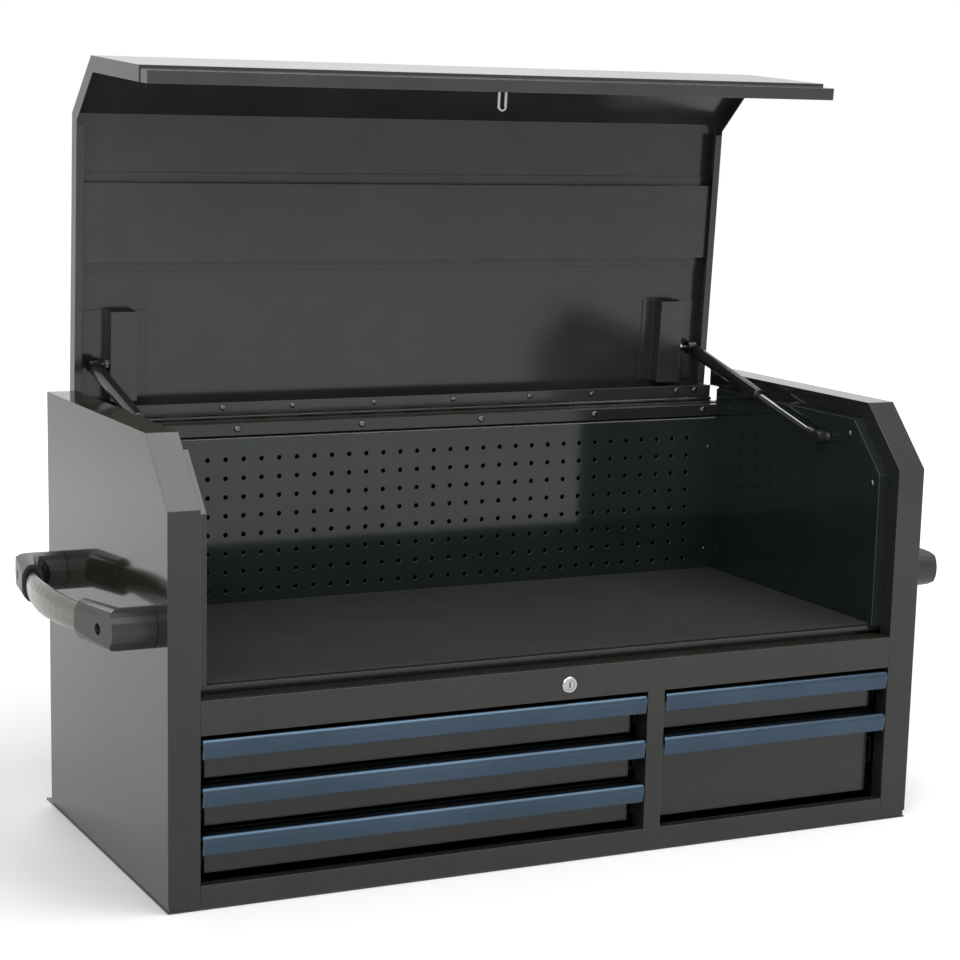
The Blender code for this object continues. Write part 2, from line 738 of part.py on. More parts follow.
def make_lid_catch(material):
    """Bent-wire striker on the inside of the lid's front panel."""
    start = FRONT + LID_INSET + SHEET + GAP
    half = CATCH_SPREAD / 2
    turn = start + CATCH_LENGTH - half
    bend = arc((0, turn), half, 180, 0, 8)
    centres = [(-half, start, CATCH_HEIGHT)]
    centres += [(x, y, CATCH_HEIGHT) for x, y in bend]
    centres.append((half, start, CATCH_HEIGHT))
    return tube_along("lid_catch", centres, [CATCH_ROD] * len(centres), 10, Vector((0, 0, 1)), material)


def lid_open_matrix():
    """Turns the closed lid about its hinge to the open pose."""
    to_hinge = Matrix.Translation((0, HINGE_Y, HINGE_Z))
    return to_hinge @ Matrix.Rotation(-math.radians(OPEN_ANGLE), 4, "X") @ to_hinge.inverted()


def strut_ends():
    """Centres of the left strut's ball stud and of its pivot on the open lid."""
    pivot = lid_open_matrix() @ Vector((LEFT + STRUT_PLANE, LID_PIVOT_Y, LID_PIVOT_Z))
    return Vector((LEFT + STRUT_PLANE, STUD_Y, STUD_Z)), pivot


def strut_axis(distance):
    """A point along the left strut's axis, as far from its ball stud, with the lid open."""
    stud, pivot = strut_ends()
    return stud + (pivot - stud).normalized() * distance


def make_ball_stud(material):
    """Stud on the side liner that the strut's rod end turns on."""
    centre = (LEFT, STUD_Y, STUD_Z)
    foot = LINER_FACE - LEFT + GAP
    profile = [
        (foot, STUD_FOOT_RADIUS),
        (foot + STUD_FOOT_HEIGHT, STUD_FOOT_RADIUS),
        (foot + STUD_FOOT_HEIGHT, STUD_RADIUS),
        (STRUT_PLANE + EYE_WIDTH / 4, STUD_RADIUS),
    ]
    return turned("ball_stud_left", "X", centre, profile, 14, material)


def make_strut_rod(material):
    """Rod with its socket, which swings on the ball stud."""
    up = Vector((1, 0, 0))
    tip = CYLINDER_START + ROD_INSERTION
    rod = tube_along("strut_rod_left", [strut_axis(0), strut_axis(tip)], [ROD_RADIUS] * 2, 14, up, material)
    stud = (LEFT + STRUT_PLANE, STUD_Y, STUD_Z)
    half = EYE_WIDTH / 2
    join(rod, turned("eye", "X", stud, [(-half, EYE_RADIUS), (half, EYE_RADIUS)], 16, material))
    hole = STUD_RADIUS + GAP
    depth = EYE_WIDTH / 4 + GAP
    cut(rod, turned("socket", "X", stud, [(-half - OVERRUN, hole), (depth, hole)], 14, material))
    return smooth(rod)


def make_strut_cylinder(material):
    """Gas cylinder with its lid-end eye and stud. The rod slides in its bore."""
    up = Vector((1, 0, 0))
    stud, pivot = strut_ends()
    end = (pivot - stud).length
    shoulder = end - EYE_RADIUS - OVERRUN
    neck = ROD_RADIUS + SHEET
    radii = [CYLINDER_RADIUS - SHEET, CYLINDER_RADIUS, CYLINDER_RADIUS, neck, neck]
    stops = [CYLINDER_START, CYLINDER_START + SHEET, shoulder - SHEET, shoulder, end]
    cylinder = tube_along("strut_cylinder_left", [strut_axis(s) for s in stops], radii, 16, up, material)
    bore = [strut_axis(CYLINDER_START - OVERRUN), strut_axis(CYLINDER_START + BORE_DEPTH)]
    cut(cylinder, tube_along("bore", bore, [ROD_RADIUS + GAP] * 2, 14, up, material))
    half = EYE_WIDTH / 2
    reach = BRACKET_LEFT - SHEET - STRUT_PLANE - GAP
    profile = [(-half, EYE_RADIUS), (half, EYE_RADIUS), (half, LID_STUD_RADIUS), (reach, LID_STUD_RADIUS)]
    join(cylinder, turned("eye", "X", pivot, profile, 16, material))
    return smooth(cylinder)


def make_lock(housing_material, plug_material, cam_material):
    """Cam lock in the top rail: housing, plug with its keyway, and cam."""
    centre = (0, FRONT, LOCK_HEIGHT)
    nose = -LOCK_RIM_HEIGHT - GAP
    bore = PLUG_RADIUS + GAP
    profile = [
        (nose, LOCK_RIM_RADIUS - SHEET),
        (nose + SHEET, LOCK_RIM_RADIUS),
        (-GAP, LOCK_RIM_RADIUS),
        (-GAP, LOCK_BODY_RADIUS),
        (LOCK_LENGTH, LOCK_BODY_RADIUS),
    ]
    housing = turned("lock_housing", "Y", centre, profile, 24, housing_material)
    ends = [(nose - OVERRUN, bore), (LOCK_LENGTH + OVERRUN, bore)]
    cut(housing, turned("bore", "Y", centre, ends, 20, housing_material))
    smooth(housing)
    face = nose + PLUG_FACE_SET_BACK
    tail = LOCK_LENGTH + GAP
    plug = turned("lock_plug", "Y", centre, [(face, PLUG_RADIUS), (tail, PLUG_RADIUS)], 20, plug_material)
    low = (-KEYWAY_WIDTH / 2, FRONT + face - OVERRUN, LOCK_HEIGHT - KEYWAY_HEIGHT / 2)
    high = (KEYWAY_WIDTH / 2, FRONT + face + KEYWAY_DEPTH, LOCK_HEIGHT + KEYWAY_HEIGHT / 2)
    cut(plug, block("keyway", low, high, plug_material))
    smooth(plug)
    half = CAM_WIDTH / 2
    outline = arc((0, LOCK_HEIGHT), half, 90, 270, 8)
    outline += arc((CAM_LENGTH - CAM_WIDTH, LOCK_HEIGHT), half, -90, 90, 8)
    start = FRONT + tail + GAP
    cam = prism("lock_cam", "Y", outline, start, start + CAM_THICKNESS, cam_material)
    return housing, plug, cam


def drawer_member(edge, inwards, level):
    """Section of the slide member riveted to a drawer's side."""
    half = SLIDE_HEIGHT / 2 - 2 * (SHEET + SLIDE_PLAY)
    web = edge + inwards * (SLIDE_DEPTH + DRAWER_WALL / 2)
    tip = edge + inwards * 3 * (SHEET + SLIDE_PLAY / 2)
    path = [(tip, level + half), (web, level + half), (web, level - half), (tip, level - half)]
    return folded_sheet(path, -SHEET * inwards)


def runner_section(edge, inwards, level):
    """Section of the middle member, between the cabinet's and the drawer's."""
    half = SLIDE_HEIGHT / 2 - SHEET - SLIDE_PLAY
    web = edge + inwards * (SHEET / 2 + SLIDE_PLAY)
    reach = edge + inwards * CHANNEL_REACH
    path = [(reach, level + half), (web, level + half), (web, level - half), (reach, level - half)]
    return folded_sheet(path, SHEET * inwards)


def make_drawer_box(number, material):
    """Drawer pressed from sheet, its front taller than its sides, with its slide members."""
    left, right = bank_edges(number)
    bottom, top = drawer_levels(number)
    near, far = DRAWER_FRONT, DRAWER_BACK
    rim = top - DRAWER_SIDE_DROP
    outline = [(near, bottom), (far, bottom), (far, rim), (near + DRAWER_WALL, rim)]
    outline += [(near + DRAWER_WALL, top), (near, top)]
    box = prism(f"drawer_box_{number}", "X", outline, left + SLIDE_DEPTH, right - SLIDE_DEPTH, material)
    low = (left + SLIDE_DEPTH + DRAWER_WALL, near + DRAWER_WALL, bottom + DRAWER_WALL)
    high = (right - SLIDE_DEPTH - DRAWER_WALL, far - DRAWER_WALL, top + OVERRUN)
    cut(box, block("inside", low, high, material))
    for edge, inwards in ((left, 1), (right, -1)):
        section = drawer_member(edge, inwards, slide_level(number))
        join(box, prism("member", "Y", section, SLIDE_FRONT, SLIDE_BACK, material))
    return box


def make_drawer_pull(number, material):
    """Extruded aluminium pull along the top of a drawer front."""
    left, right = bank_edges(number)
    top = drawer_levels(number)[1]
    back = DRAWER_FRONT - GAP
    nose = (FRONT - PULL_BULGE + PULL_NOSE, top - PULL_NOSE)
    path = [(back, top - PULL_LEG), (back, top)]
    path += arc(nose, PULL_NOSE, 90, 180, 6)
    path.append((FRONT - PULL_BULGE + PULL_FOOT_SET_BACK, top - PULL_HEIGHT))
    section = folded_sheet(path, PULL_WALL)
    pull = prism(f"drawer_pull_{number}", "X", section, left + PULL_SIDE_GAP, right - PULL_SIDE_GAP, material)
    return smooth(pull)


def make_runner(number, side, material):
    """Middle member of one slide."""
    left, right = bank_edges(number)
    edge, inwards = (left, 1) if side == "left" else (right, -1)
    section = runner_section(edge, inwards, slide_level(number))
    return prism(f"slide_runner_{number}_{side}", "Y", section, SLIDE_FRONT, SLIDE_BACK, material)


def sleeve_direction(towards):
    """The way that an elbow's sleeve points, out of the side and along it."""
    return Vector((-SLEEVE_RISE, towards * SLEEVE_LENGTH, 0)).normalized()


def mouth_centre(foot_y, towards):
    """Middle of the sleeve's mouth, where the bar goes in."""
    wall = LEFT - GAP
    return Vector((wall - ARM_REACH - SLEEVE_RISE, foot_y + towards * SLEEVE_LENGTH, HANDLE_HEIGHT))


def make_elbow(name, foot_y, towards, material):
    """Moulded end of a side handle: a round arm out of the side, mitred to a sleeve with an oval mouth."""
    wall = LEFT - GAP
    up = Vector((0, 0, 1))
    mouth = mouth_centre(foot_y, towards)
    way = sleeve_direction(towards)
    centres = [(wall, foot_y, HANDLE_HEIGHT), (wall - ARM_REACH, foot_y, HANDLE_HEIGHT), mouth]
    sizes = [(ARM_RADIUS, ARM_RADIUS), (ARM_RADIUS, ARM_RADIUS), (MOUTH_WIDTH / 2, MOUTH_HEIGHT / 2)]
    elbow = oval_along(name, centres, sizes, HANDLE_SIDES, up, material)
    near, far = -ARM_RADIUS - OVERRUN, SLEEVE_LENGTH + OVERRUN
    slope = math.tan(math.radians(FACET_TURN_DEG))
    outline = []
    for along, beyond in ((near, 0), (far, 0), (far, ARM_RADIUS), (near, ARM_RADIUS)):
        reach = FACET_REACH + (along + ARM_RADIUS) * slope
        outline.append((wall - reach - beyond, foot_y + towards * along))
    low, high = HANDLE_HEIGHT - ARM_RADIUS - OVERRUN, HANDLE_HEIGHT + ARM_RADIUS + OVERRUN
    cut(elbow, prism("facet", "Z", outline, low, high, material))
    hole = (wall - FACET_REACH, foot_y + towards * BOLT_HOLE_OFFSET, HANDLE_HEIGHT)
    ends = [(-SLEEVE_RISE - OVERRUN, BOLT_HOLE_RADIUS), (BOLT_HOLE_DEPTH, BOLT_HOLE_RADIUS)]
    cut(elbow, turned("bolt hole", "X", hole, ends, 16, material))
    recess_size = (MOUTH_WIDTH / 2 - MOUTH_RIM, MOUTH_HEIGHT / 2 - MOUTH_RIM)
    seat_size = (BAR_END_WIDTH / 2 + GAP, BAR_END_HEIGHT / 2 + GAP)
    for depth, size in ((MOUTH_RECESS, recess_size), (SOCKET_DEPTH, seat_size)):
        ends = [mouth - way * depth, mouth + way * OVERRUN]
        cut(elbow, oval_along("socket", ends, [size] * 2, HANDLE_SIDES, up, material))
    return smooth(elbow)


def make_handle_bar(material):
    """Bar of a side handle: an oval grip bowed in an arc that runs into both sleeves."""
    near = mouth_centre(FRONT + HANDLE_FRONT, 1)
    far = mouth_centre(BACK - HANDLE_BACK_GAP, -1)
    half_angle = math.atan2(SLEEVE_RISE, SLEEVE_LENGTH)
    radius = (far.y - near.y) / 2 / math.sin(half_angle)
    centre = Vector((near.x + radius * math.cos(half_angle), (near.y + far.y) / 2, HANDLE_HEIGHT))
    seat = SOCKET_DEPTH - GAP
    end_size = (BAR_END_WIDTH / 2, BAR_END_HEIGHT / 2)
    swell = ((BAR_WIDTH - BAR_END_WIDTH) / 2, (BAR_HEIGHT - BAR_END_HEIGHT) / 2)
    points = [near - sleeve_direction(1) * seat]
    sizes = [end_size]
    for i in range(BAR_STEPS + 1):
        share = i / BAR_STEPS
        angle = half_angle * (2 * share - 1)
        points.append(centre + Vector((-math.cos(angle), math.sin(angle), 0)) * radius)
        fullness = math.sin(math.pi * share)
        sizes.append((end_size[0] + swell[0] * fullness, end_size[1] + swell[1] * fullness))
    points.append(far - sleeve_direction(-1) * seat)
    sizes.append(end_size)
    return oval_along("handle_bar_left", points, sizes, HANDLE_SIDES, Vector((0, 0, 1)), material)


def make_pivot(name, location):
    """An empty on a joint's axis."""
    pivot = bpy.data.objects.new(name, None)
    pivot.location = location
    bpy.context.scene.collection.objects.link(pivot)
    bpy.context.view_layer.update()
    return pivot


def hang_on(pivot, pieces):
    """Parent pieces to a pivot, keeping where they are."""
    for piece in pieces:
        piece.parent = pivot
        piece.matrix_parent_inverse = pivot.matrix_world.inverted()


def make_cabinet(paint, dark_paint, mat_rubber, zinc):
    side = make_side_shell(paint)
    mirrored(side, "side_shell_right")
    make_base_pan(paint)
    make_back_panel(paint)
    make_face_frame(paint)
    make_upright("slide_rack_left", LEFT + POST_WIDTH, 1, BANKS["left"], zinc)
    make_upright("slide_rack_right", RIGHT - POST_WIDTH, -1, BANKS["right"], zinc)
    make_centre_partition(zinc)
    make_till_floor(dark_paint)
    make_floor_mat(mat_rubber)
    liner = make_side_liner(dark_paint)
    mirrored(liner, "side_liner_right")
    make_peg_back(dark_paint)
    make_rear_rail(paint)


def make_lid(paint, dark_paint, steel):
    """The lid and what it carries, closed first and then turned open on the hinge line."""
    bracket = make_strut_bracket(paint)
    carried = [make_hinge(dark_paint), bracket, mirrored(bracket, "strut_bracket_right")]
    carried += [make_lid_shell(paint), make_lid_channel(paint), make_lid_catch(steel)]
    hinge_line = make_pivot("hinge line", (0, HINGE_Y, HINGE_Z))
    hang_on(hinge_line, carried)
    hinge_line.rotation_euler.x = -math.radians(OPEN_ANGLE)


def make_struts(black, chrome):
    stud = make_ball_stud(chrome)
    mirrored(stud, "ball_stud_right")
    rod = make_strut_rod(chrome)
    cylinder = make_strut_cylinder(black)
    rods = {"left": rod, "right": mirrored(rod, "strut_rod_right")}
    cylinders = {"left": cylinder, "right": mirrored(cylinder, "strut_cylinder_right")}
    for side, sign in (("left", 1), ("right", -1)):
        place_x = sign * (LEFT + STRUT_PLANE)
        pivot = make_pivot(f"strut pivot {side}", (place_x, STUD_Y, STUD_Z))
        hang_on(pivot, [rods[side], cylinders[side]])


def make_drawers(paint, zinc, blue):
    for number in sorted(FRONT_HEIGHT_SHARES):
        left, right = bank_edges(number)
        bottom = drawer_levels(number)[0]
        pivot = make_pivot(f"drawer {number}", ((left + right) / 2, FRONT, bottom))
        hang_on(pivot, [make_drawer_box(number, paint), make_drawer_pull(number, blue)])
        for side in ("left", "right"):
            make_runner(number, side, zinc)


def make_handles(plastic, aluminium):
    pieces = [
        make_elbow("handle_front_elbow_left", FRONT + HANDLE_FRONT, 1, plastic),
        make_elbow("handle_rear_elbow_left", BACK - HANDLE_BACK_GAP, -1, plastic),
        make_handle_bar(aluminium),
    ]
    for piece in pieces:
        mirrored(piece, piece.name.replace("_left", "_right"))


def build_chest():
    for piece in list(bpy.data.objects):
        bpy.data.objects.remove(piece)
    paint = make_material("charcoal paint", (0.052, 0.052, 0.052), 0.28, coat=0.4)
    dark_paint = make_material("till paint", (0.040, 0.042, 0.042), 0.30, coat=0.3)
    mat_rubber = make_material("mat rubber", (0.030, 0.030, 0.033), 0.85)
    zinc = make_material("zinc plate", (0.45, 0.46, 0.47), 0.35, metallic=1.0)
    chrome = make_material("chrome", (0.80, 0.81, 0.82), 0.10, metallic=1.0)
    black = make_material("black cylinder", (0.012, 0.012, 0.013), 0.25, coat=0.3)
    blue = make_material("blue anodised", (0.10, 0.20, 0.31), 0.28, metallic=0.9)
    plastic = make_material("black plastic", (0.020, 0.021, 0.018), 0.38)
    aluminium = make_material("polished aluminium", (0.55, 0.55, 0.54), 0.22, metallic=1.0)
    make_cabinet(paint, dark_paint, mat_rubber, zinc)
    make_lid(paint, dark_paint, chrome)
    make_struts(black, chrome)
    make_lock(chrome, chrome, zinc)
    make_drawers(paint, zinc, blue)
    make_handles(plastic, aluminium)


build_chest()
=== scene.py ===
# %% [markdown]
# # A top tool chest
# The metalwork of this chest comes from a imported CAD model: every panel, drawer and hinge leaf is
# already in its place, in metres. This lesson gives it the things that CAD leaves out: finishes that
# look like paint, rubber and plated steel, the perforations of the till, the screws and the mat.
# Loading the model first gives a fixed frame that everything else is measured from.

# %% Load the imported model
import math

import bmesh
import bpy
from mathutils import Matrix, Vector


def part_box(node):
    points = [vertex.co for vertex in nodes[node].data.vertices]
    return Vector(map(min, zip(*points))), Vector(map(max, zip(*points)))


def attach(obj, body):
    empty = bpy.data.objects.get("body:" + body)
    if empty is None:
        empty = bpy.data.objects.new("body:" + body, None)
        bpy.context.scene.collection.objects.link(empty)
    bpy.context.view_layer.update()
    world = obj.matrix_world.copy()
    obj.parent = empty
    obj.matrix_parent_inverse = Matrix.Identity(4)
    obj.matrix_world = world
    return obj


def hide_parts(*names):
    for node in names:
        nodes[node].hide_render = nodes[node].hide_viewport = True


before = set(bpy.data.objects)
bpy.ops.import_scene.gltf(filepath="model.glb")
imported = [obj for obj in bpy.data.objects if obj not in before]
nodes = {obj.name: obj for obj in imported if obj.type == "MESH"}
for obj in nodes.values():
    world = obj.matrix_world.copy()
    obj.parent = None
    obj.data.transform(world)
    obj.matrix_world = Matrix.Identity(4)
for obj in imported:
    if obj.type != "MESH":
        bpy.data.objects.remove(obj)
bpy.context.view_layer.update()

# %% [markdown]
# ## The camera
# The photograph looks at the chest from its left front and from a little above, with a long lens. A
# camera is a place, three turns and a lens. The small vertical shift keeps upright edges as
# upright as the photograph has them.

# %% Camera
CAMERA_PLACE = (-1.3823, -2.7678, 0.9403)
CAMERA_YAW = 0.4606
CAMERA_PITCH = 0.1934
CAMERA_ROLL = 0.0236
CAMERA_LENS = 89.72
CAMERA_SHIFT = 0.0896


def camera_axes(yaw, pitch, roll):
    """Right, up and backward directions of a camera that looks along +Y when nothing is turned."""
    forward = Vector((math.sin(yaw) * math.cos(pitch), math.cos(yaw) * math.cos(pitch), -math.sin(pitch)))
    level = Vector((math.cos(yaw), -math.sin(yaw), 0.0))
    up = level.cross(forward)
    right = math.cos(roll) * level + math.sin(roll) * up
    up = math.cos(roll) * up - math.sin(roll) * level
    return right, up, -forward


camera = bpy.data.objects.new("camera", bpy.data.cameras.new("camera"))
camera.data.lens = CAMERA_LENS
camera.data.shift_y = CAMERA_SHIFT
axes = Matrix(camera_axes(CAMERA_YAW, CAMERA_PITCH, CAMERA_ROLL)).transposed()
camera.matrix_world = Matrix.Translation(CAMERA_PLACE) @ axes.to_4x4()
bpy.context.scene.collection.objects.link(camera)
bpy.context.scene.camera = camera
print("Camera is", round((Vector(CAMERA_PLACE) - Vector((0, 0, 0.3))).length, 2), "m from the chest")

# %% [markdown]
# ## Trees of nodes, written as sums
# Materials and Geometry Nodes are both trees of nodes. Writing them as sums is far easier to read
# than adding nodes one by one, so a small class wraps an output socket and turns `+`, `-`, `*` and
# `/` into Math nodes. Everything that isn't arithmetic comes from one method, `node`.

# %% Wires and graphs
class Wire:
    """A value on its way through a tree: an output socket that grows Math nodes in a sum."""

    def __init__(self, graph, socket):
        self.graph = graph
        self.socket = socket

    def maths(self, operation, *values):
        return self.graph.node("ShaderNodeMath", {"operation": operation}, dict(enumerate(values)))

    def __add__(self, other):
        return self.maths("ADD", self, other)

    def __radd__(self, other):
        return self.maths("ADD", other, self)

    def __sub__(self, other):
        return self.maths("SUBTRACT", self, other)

    def __rsub__(self, other):
        return self.maths("SUBTRACT", other, self)

    def __mul__(self, other):
        return self.maths("MULTIPLY", self, other)

    def __rmul__(self, other):
        return self.maths("MULTIPLY", other, self)

    def __truediv__(self, other):
        return self.maths("DIVIDE", self, other)

    def __gt__(self, other):
        return self.maths("GREATER_THAN", self, other)

    def __lt__(self, other):
        return self.maths("LESS_THAN", self, other)

    def between(self, low, high):
        """Nought at low, one at high, and smooth between them."""
        settings = {"interpolation_type": "SMOOTHSTEP", "clamp": True}
        return self.graph.node("ShaderNodeMapRange", settings, {0: self, 1: low, 2: high})

    def most(self, other):
        return self.maths("MAXIMUM", self, other)


class Graph:
    """A tree of nodes that is being put together."""

    def __init__(self, tree):
        self.tree = tree

    def fill(self, socket, value):
        """Set a socket to a value, or link a wire into it."""
        if isinstance(value, Wire):
            self.tree.links.new(value.socket, socket)
        else:
            socket.default_value = value

    def find(self, sockets, key):
        """A socket by its place in the list, its identifier or its name."""
        if isinstance(key, int):
            return sockets[key]
        for socket in sockets:
            if socket.identifier == key:
                return socket
        return sockets[key]

    def node(self, kind, settings=None, values=None, output=0):
        """Add a node, set how it works, then fill its sockets. The answer is one of its outputs."""
        made = self.tree.nodes.new(kind)
        for key, value in (settings or {}).items():
            setattr(made, key, value)
        for key, value in (values or {}).items():
            self.fill(self.find(made.inputs, key), value)
        return Wire(self, self.find(made.outputs, output))


class Recipe(Graph):
    """A material being put together, and the shader that its wires end in."""

    def __init__(self, name):
        self.material = bpy.data.materials.new(name)
        self.material.use_nodes = True
        super().__init__(self.material.node_tree)
        self.shader = self.tree.nodes["Principled BSDF"]

    def constant(self, **values):
        """Numbers and colours that are the same all over go on the shader itself."""
        for key, value in values.items():
            socket = self.shader.inputs[key.replace("_", " ")]
            socket.default_value = (*value, 1.0) if isinstance(value, tuple) else value

    def varying(self, **wires):
        """Wires that vary over the surface go into the shader's sockets."""
        for key, wire in wires.items():
            self.fill(self.shader.inputs[key.replace("_", " ")], wire)


probe = Recipe("probe")
probe_sum = 1 - probe.node("ShaderNodeTexNoise") * 0.5
print("A sum of three terms made", len(probe.tree.nodes) - 2, "nodes:", probe_sum.socket.node.operation)
bpy.data.materials.remove(probe.material)

# %% [markdown]
# ## Patterns that every finish shares
# Real surfaces are never one colour. Noise on Object coordinates is fixed to the piece in metres,
# so a scale of 500 makes spots about two millimetres wide wherever the piece is. A stretched noise
# makes brushing and extrusion lines. The Bevel node rounds the light on a sharp edge, as the small
# radius of a folded sheet does, and comparing it with the true normal tells where the edges are.

# %% Shared patterns
def place_of(recipe, stretch=(1.0, 1.0, 1.0)):
    """The place on the piece in metres, stretched along the axes."""
    where = recipe.node("ShaderNodeTexCoord", output="Object")
    if stretch == (1.0, 1.0, 1.0):
        return where
    return recipe.node("ShaderNodeVectorMath", {"operation": "MULTIPLY"}, {0: where, 1: stretch})


def noise(recipe, scale, detail=2.0, roughness=0.5, stretch=(1.0, 1.0, 1.0)):
    """Soft random blotches, from nought to one."""
    values = {"Vector": place_of(recipe, stretch), "Scale": scale, "Detail": detail, "Roughness": roughness}
    return recipe.node("ShaderNodeTexNoise", None, values, "Fac")


def cells(recipe, scale, feature="F1", stretch=(1.0, 1.0, 1.0)):
    """Distance to the nearest of many scattered points, for specks, grain and pores."""
    values = {"Vector": place_of(recipe, stretch), "Scale": scale}
    return recipe.node("ShaderNodeTexVoronoi", {"feature": feature}, values, "Distance")


def blend_colours(recipe, share, first, second):
    """The first colour where share is nought and the second where it is one."""
    colours = [c if isinstance(c, Wire) else (*c, 1.0) for c in (first, second)]
    values = {"Factor_Float": share, "A_Color": colours[0], "B_Color": colours[1]}
    return recipe.node("ShaderNodeMix", {"data_type": "RGBA"}, values, "Result_Color")


def blend_numbers(share, first, second):
    """The first number where share is nought and the second where it is one."""
    return share * second + (1 - share) * first


def coordinate(recipe, axis):
    """How far along X, Y or Z a place on the piece is, in metres."""
    return recipe.node("ShaderNodeSeparateXYZ", None, {0: place_of(recipe)}, axis)


def rounded_normal(recipe, radius):
    """The normal that the surface would have if its edges were rounded."""
    return recipe.node("ShaderNodeBevel", {"samples": 4}, {"Radius": radius}, "Normal")


def edge_mask(recipe, rounded):
    """One on the edges and nought on flat parts."""
    true_normal = recipe.node("ShaderNodeNewGeometry", output="True Normal")
    likeness = recipe.node("ShaderNodeVectorMath", {"operation": "DOT_PRODUCT"},
                           {0: rounded, 1: true_normal}, "Value")
    return (1 - likeness).between(0.004, 0.12)


def relief(recipe, height, depth, normal):
    """Bump whose full height is depth metres, laid on a normal."""
    values = {"Height": height, "Distance": depth, "Strength": 1.0, "Normal": normal}
    return recipe.node("ShaderNodeBump", None, values, "Normal")


print("Patterns ready: noise, cells, rounded edges and relief")

# %% [markdown]
# ## Gloss enamel
# The sheet metal wears a nearly black baked enamel. What we see of it is mostly mirrored light, so
# its roughness matters more than its colour: the cabinet's sides mirror like a piano, the lid is
# duller. Up close it has the faint waviness that sprayers call orange peel, a haze of handling
# marks and a few specks of dust. Its folds are painted a lighter olive, a painted highlight for the light that a
# fold catches.

# %% Enamel
EDGE_ROUNDING = 0.0012
OLIVE_EDGE_HIGHLIGHT = (0.120, 0.126, 0.096)


def make_enamel(name, colour, roughness, peel, sheen=0.05, second=None):
    """Baked enamel over folded sheet steel. second is a finish for a stretch of the piece."""
    recipe = Recipe(name)
    rounded = rounded_normal(recipe, EDGE_ROUNDING)
    edge = edge_mask(recipe, rounded)
    mottle = noise(recipe, 9.0, 5.0, 0.62)
    specks = cells(recipe, 260.0) < 0.055
    scuffs = noise(recipe, 40.0, 6.0, 0.7, (1.0, 1.0, 0.35)).between(0.57, 0.80)
    lighter = tuple(1.35 * c for c in colour)
    tone = blend_colours(recipe, mottle.between(0.30, 0.75), colour, lighter)
    tone = blend_colours(recipe, specks * mottle * 0.30, tone, (0.14, 0.14, 0.13))
    # Painted highlight: the edges are lightened towards olive, as folds look where they catch the light.
    tone = blend_colours(recipe, edge * (0.35 + 0.4 * mottle), tone, OLIVE_EDGE_HIGHLIGHT)
    gloss = roughness + 0.07 * scuffs + 0.04 * mottle + 0.10 * edge
    height = noise(recipe, 420.0, 2.0) * 0.7 + noise(recipe, 150.0, 1.0) * 0.6
    metal = 0.0
    if second:
        share, second_tone, second_gloss, second_metal = second(recipe)
        tone = blend_colours(recipe, share, tone, second_tone)
        gloss = blend_numbers(share, gloss, second_gloss)
        metal = share * second_metal
    recipe.varying(Base_Color=tone, Roughness=gloss, Metallic=metal,
                   Normal=relief(recipe, height, peel, rounded))
    recipe.constant(Specular_IOR_Level=0.5, IOR=1.45, Sheen_Weight=sheen, Sheen_Roughness=0.35,
                    Sheen_Tint=(0.62, 0.66, 0.42))
    return recipe.material


body_enamel = make_enamel("body enamel", (0.014, 0.0145, 0.013), 0.11, 0.000016)
side_enamel = make_enamel("side enamel", (0.013, 0.0135, 0.012), 0.055, 0.000007)
lid_enamel = make_enamel("lid enamel", (0.027, 0.0272, 0.0250), 0.14, 0.000014)
# The till enamel's faint teal tint is painted reflection: it stands in for the teal light mirrored low on the false
# back and liners.
till_enamel = make_enamel("till enamel", (0.010, 0.0150, 0.0142), 0.060, 0.000008, sheen=0.02)
print("Enamels:", body_enamel.name, side_enamel.name, lid_enamel.name, till_enamel.name)

# %% [markdown]
# ## Metals
# A metal has no colour of its own under the light but what it reflects, so roughness does most of
# the work. The drawer slides are zinc-plated and blackened. The drawer pulls are extruded
# aluminium, brushed along their length and dyed a deep blue, and the handles' grips are a dark
# satin aluminium. The struts' rods, the lock and the catch are bright chrome, the screws nickel.

# %% Metals
def blackened_zinc(recipe):
    """Colour, roughness and metalness of black zinc, with its faint crystals and grey rubbing."""
    crystals = recipe.node("ShaderNodeTexVoronoi", None, {"Vector": place_of(recipe), "Scale": 210.0}, "Color")
    grain = recipe.node("ShaderNodeSeparateColor", None, {0: crystals}, 0)
    rubbed = noise(recipe, 34.0, 5.0, 0.66, (1.0, 0.3, 1.0)).between(0.52, 0.80)
    tone = blend_colours(recipe, grain * 0.5 + rubbed * 0.5, (0.018, 0.018, 0.020), (0.070, 0.071, 0.074))
    return tone, 0.28 + 0.16 * grain + 0.08 * rubbed, 0.85


def make_black_zinc(name):
    recipe = Recipe(name)
    rounded = rounded_normal(recipe, 0.0005)
    tone, gloss, metal = blackened_zinc(recipe)
    recipe.varying(Base_Color=tone, Roughness=gloss, Normal=relief(recipe, noise(recipe, 900.0), 0.00001, rounded))
    recipe.constant(Metallic=metal)
    return recipe.material


def make_anodised(name, colour, edge_highlight_and_line_colour):
    """Dyed aluminium, brushed along X, with a painted highlight on its rounded edges."""
    recipe = Recipe(name)
    rounded = rounded_normal(recipe, 0.0030)
    edge = edge_mask(recipe, rounded)
    lines = noise(recipe, 1500.0, 3.0, 0.7, (0.006, 1.0, 1.0))
    drift = noise(recipe, 7.0, 3.0)
    tone = blend_colours(recipe, drift.between(0.30, 0.75), colour, tuple(1.2 * c for c in colour))
    # Painted highlight: the rounded edges are lightened to a pale blue; the faint extrusion lines are the metal's
    # own.
    tone = blend_colours(recipe, edge * 0.35 + lines * 0.06, tone, edge_highlight_and_line_colour)
    recipe.varying(Base_Color=tone, Roughness=0.17 + 0.12 * lines + 0.04 * drift,
                   Normal=relief(recipe, lines, 0.000006, rounded))
    recipe.constant(Metallic=1.0)
    return recipe.material


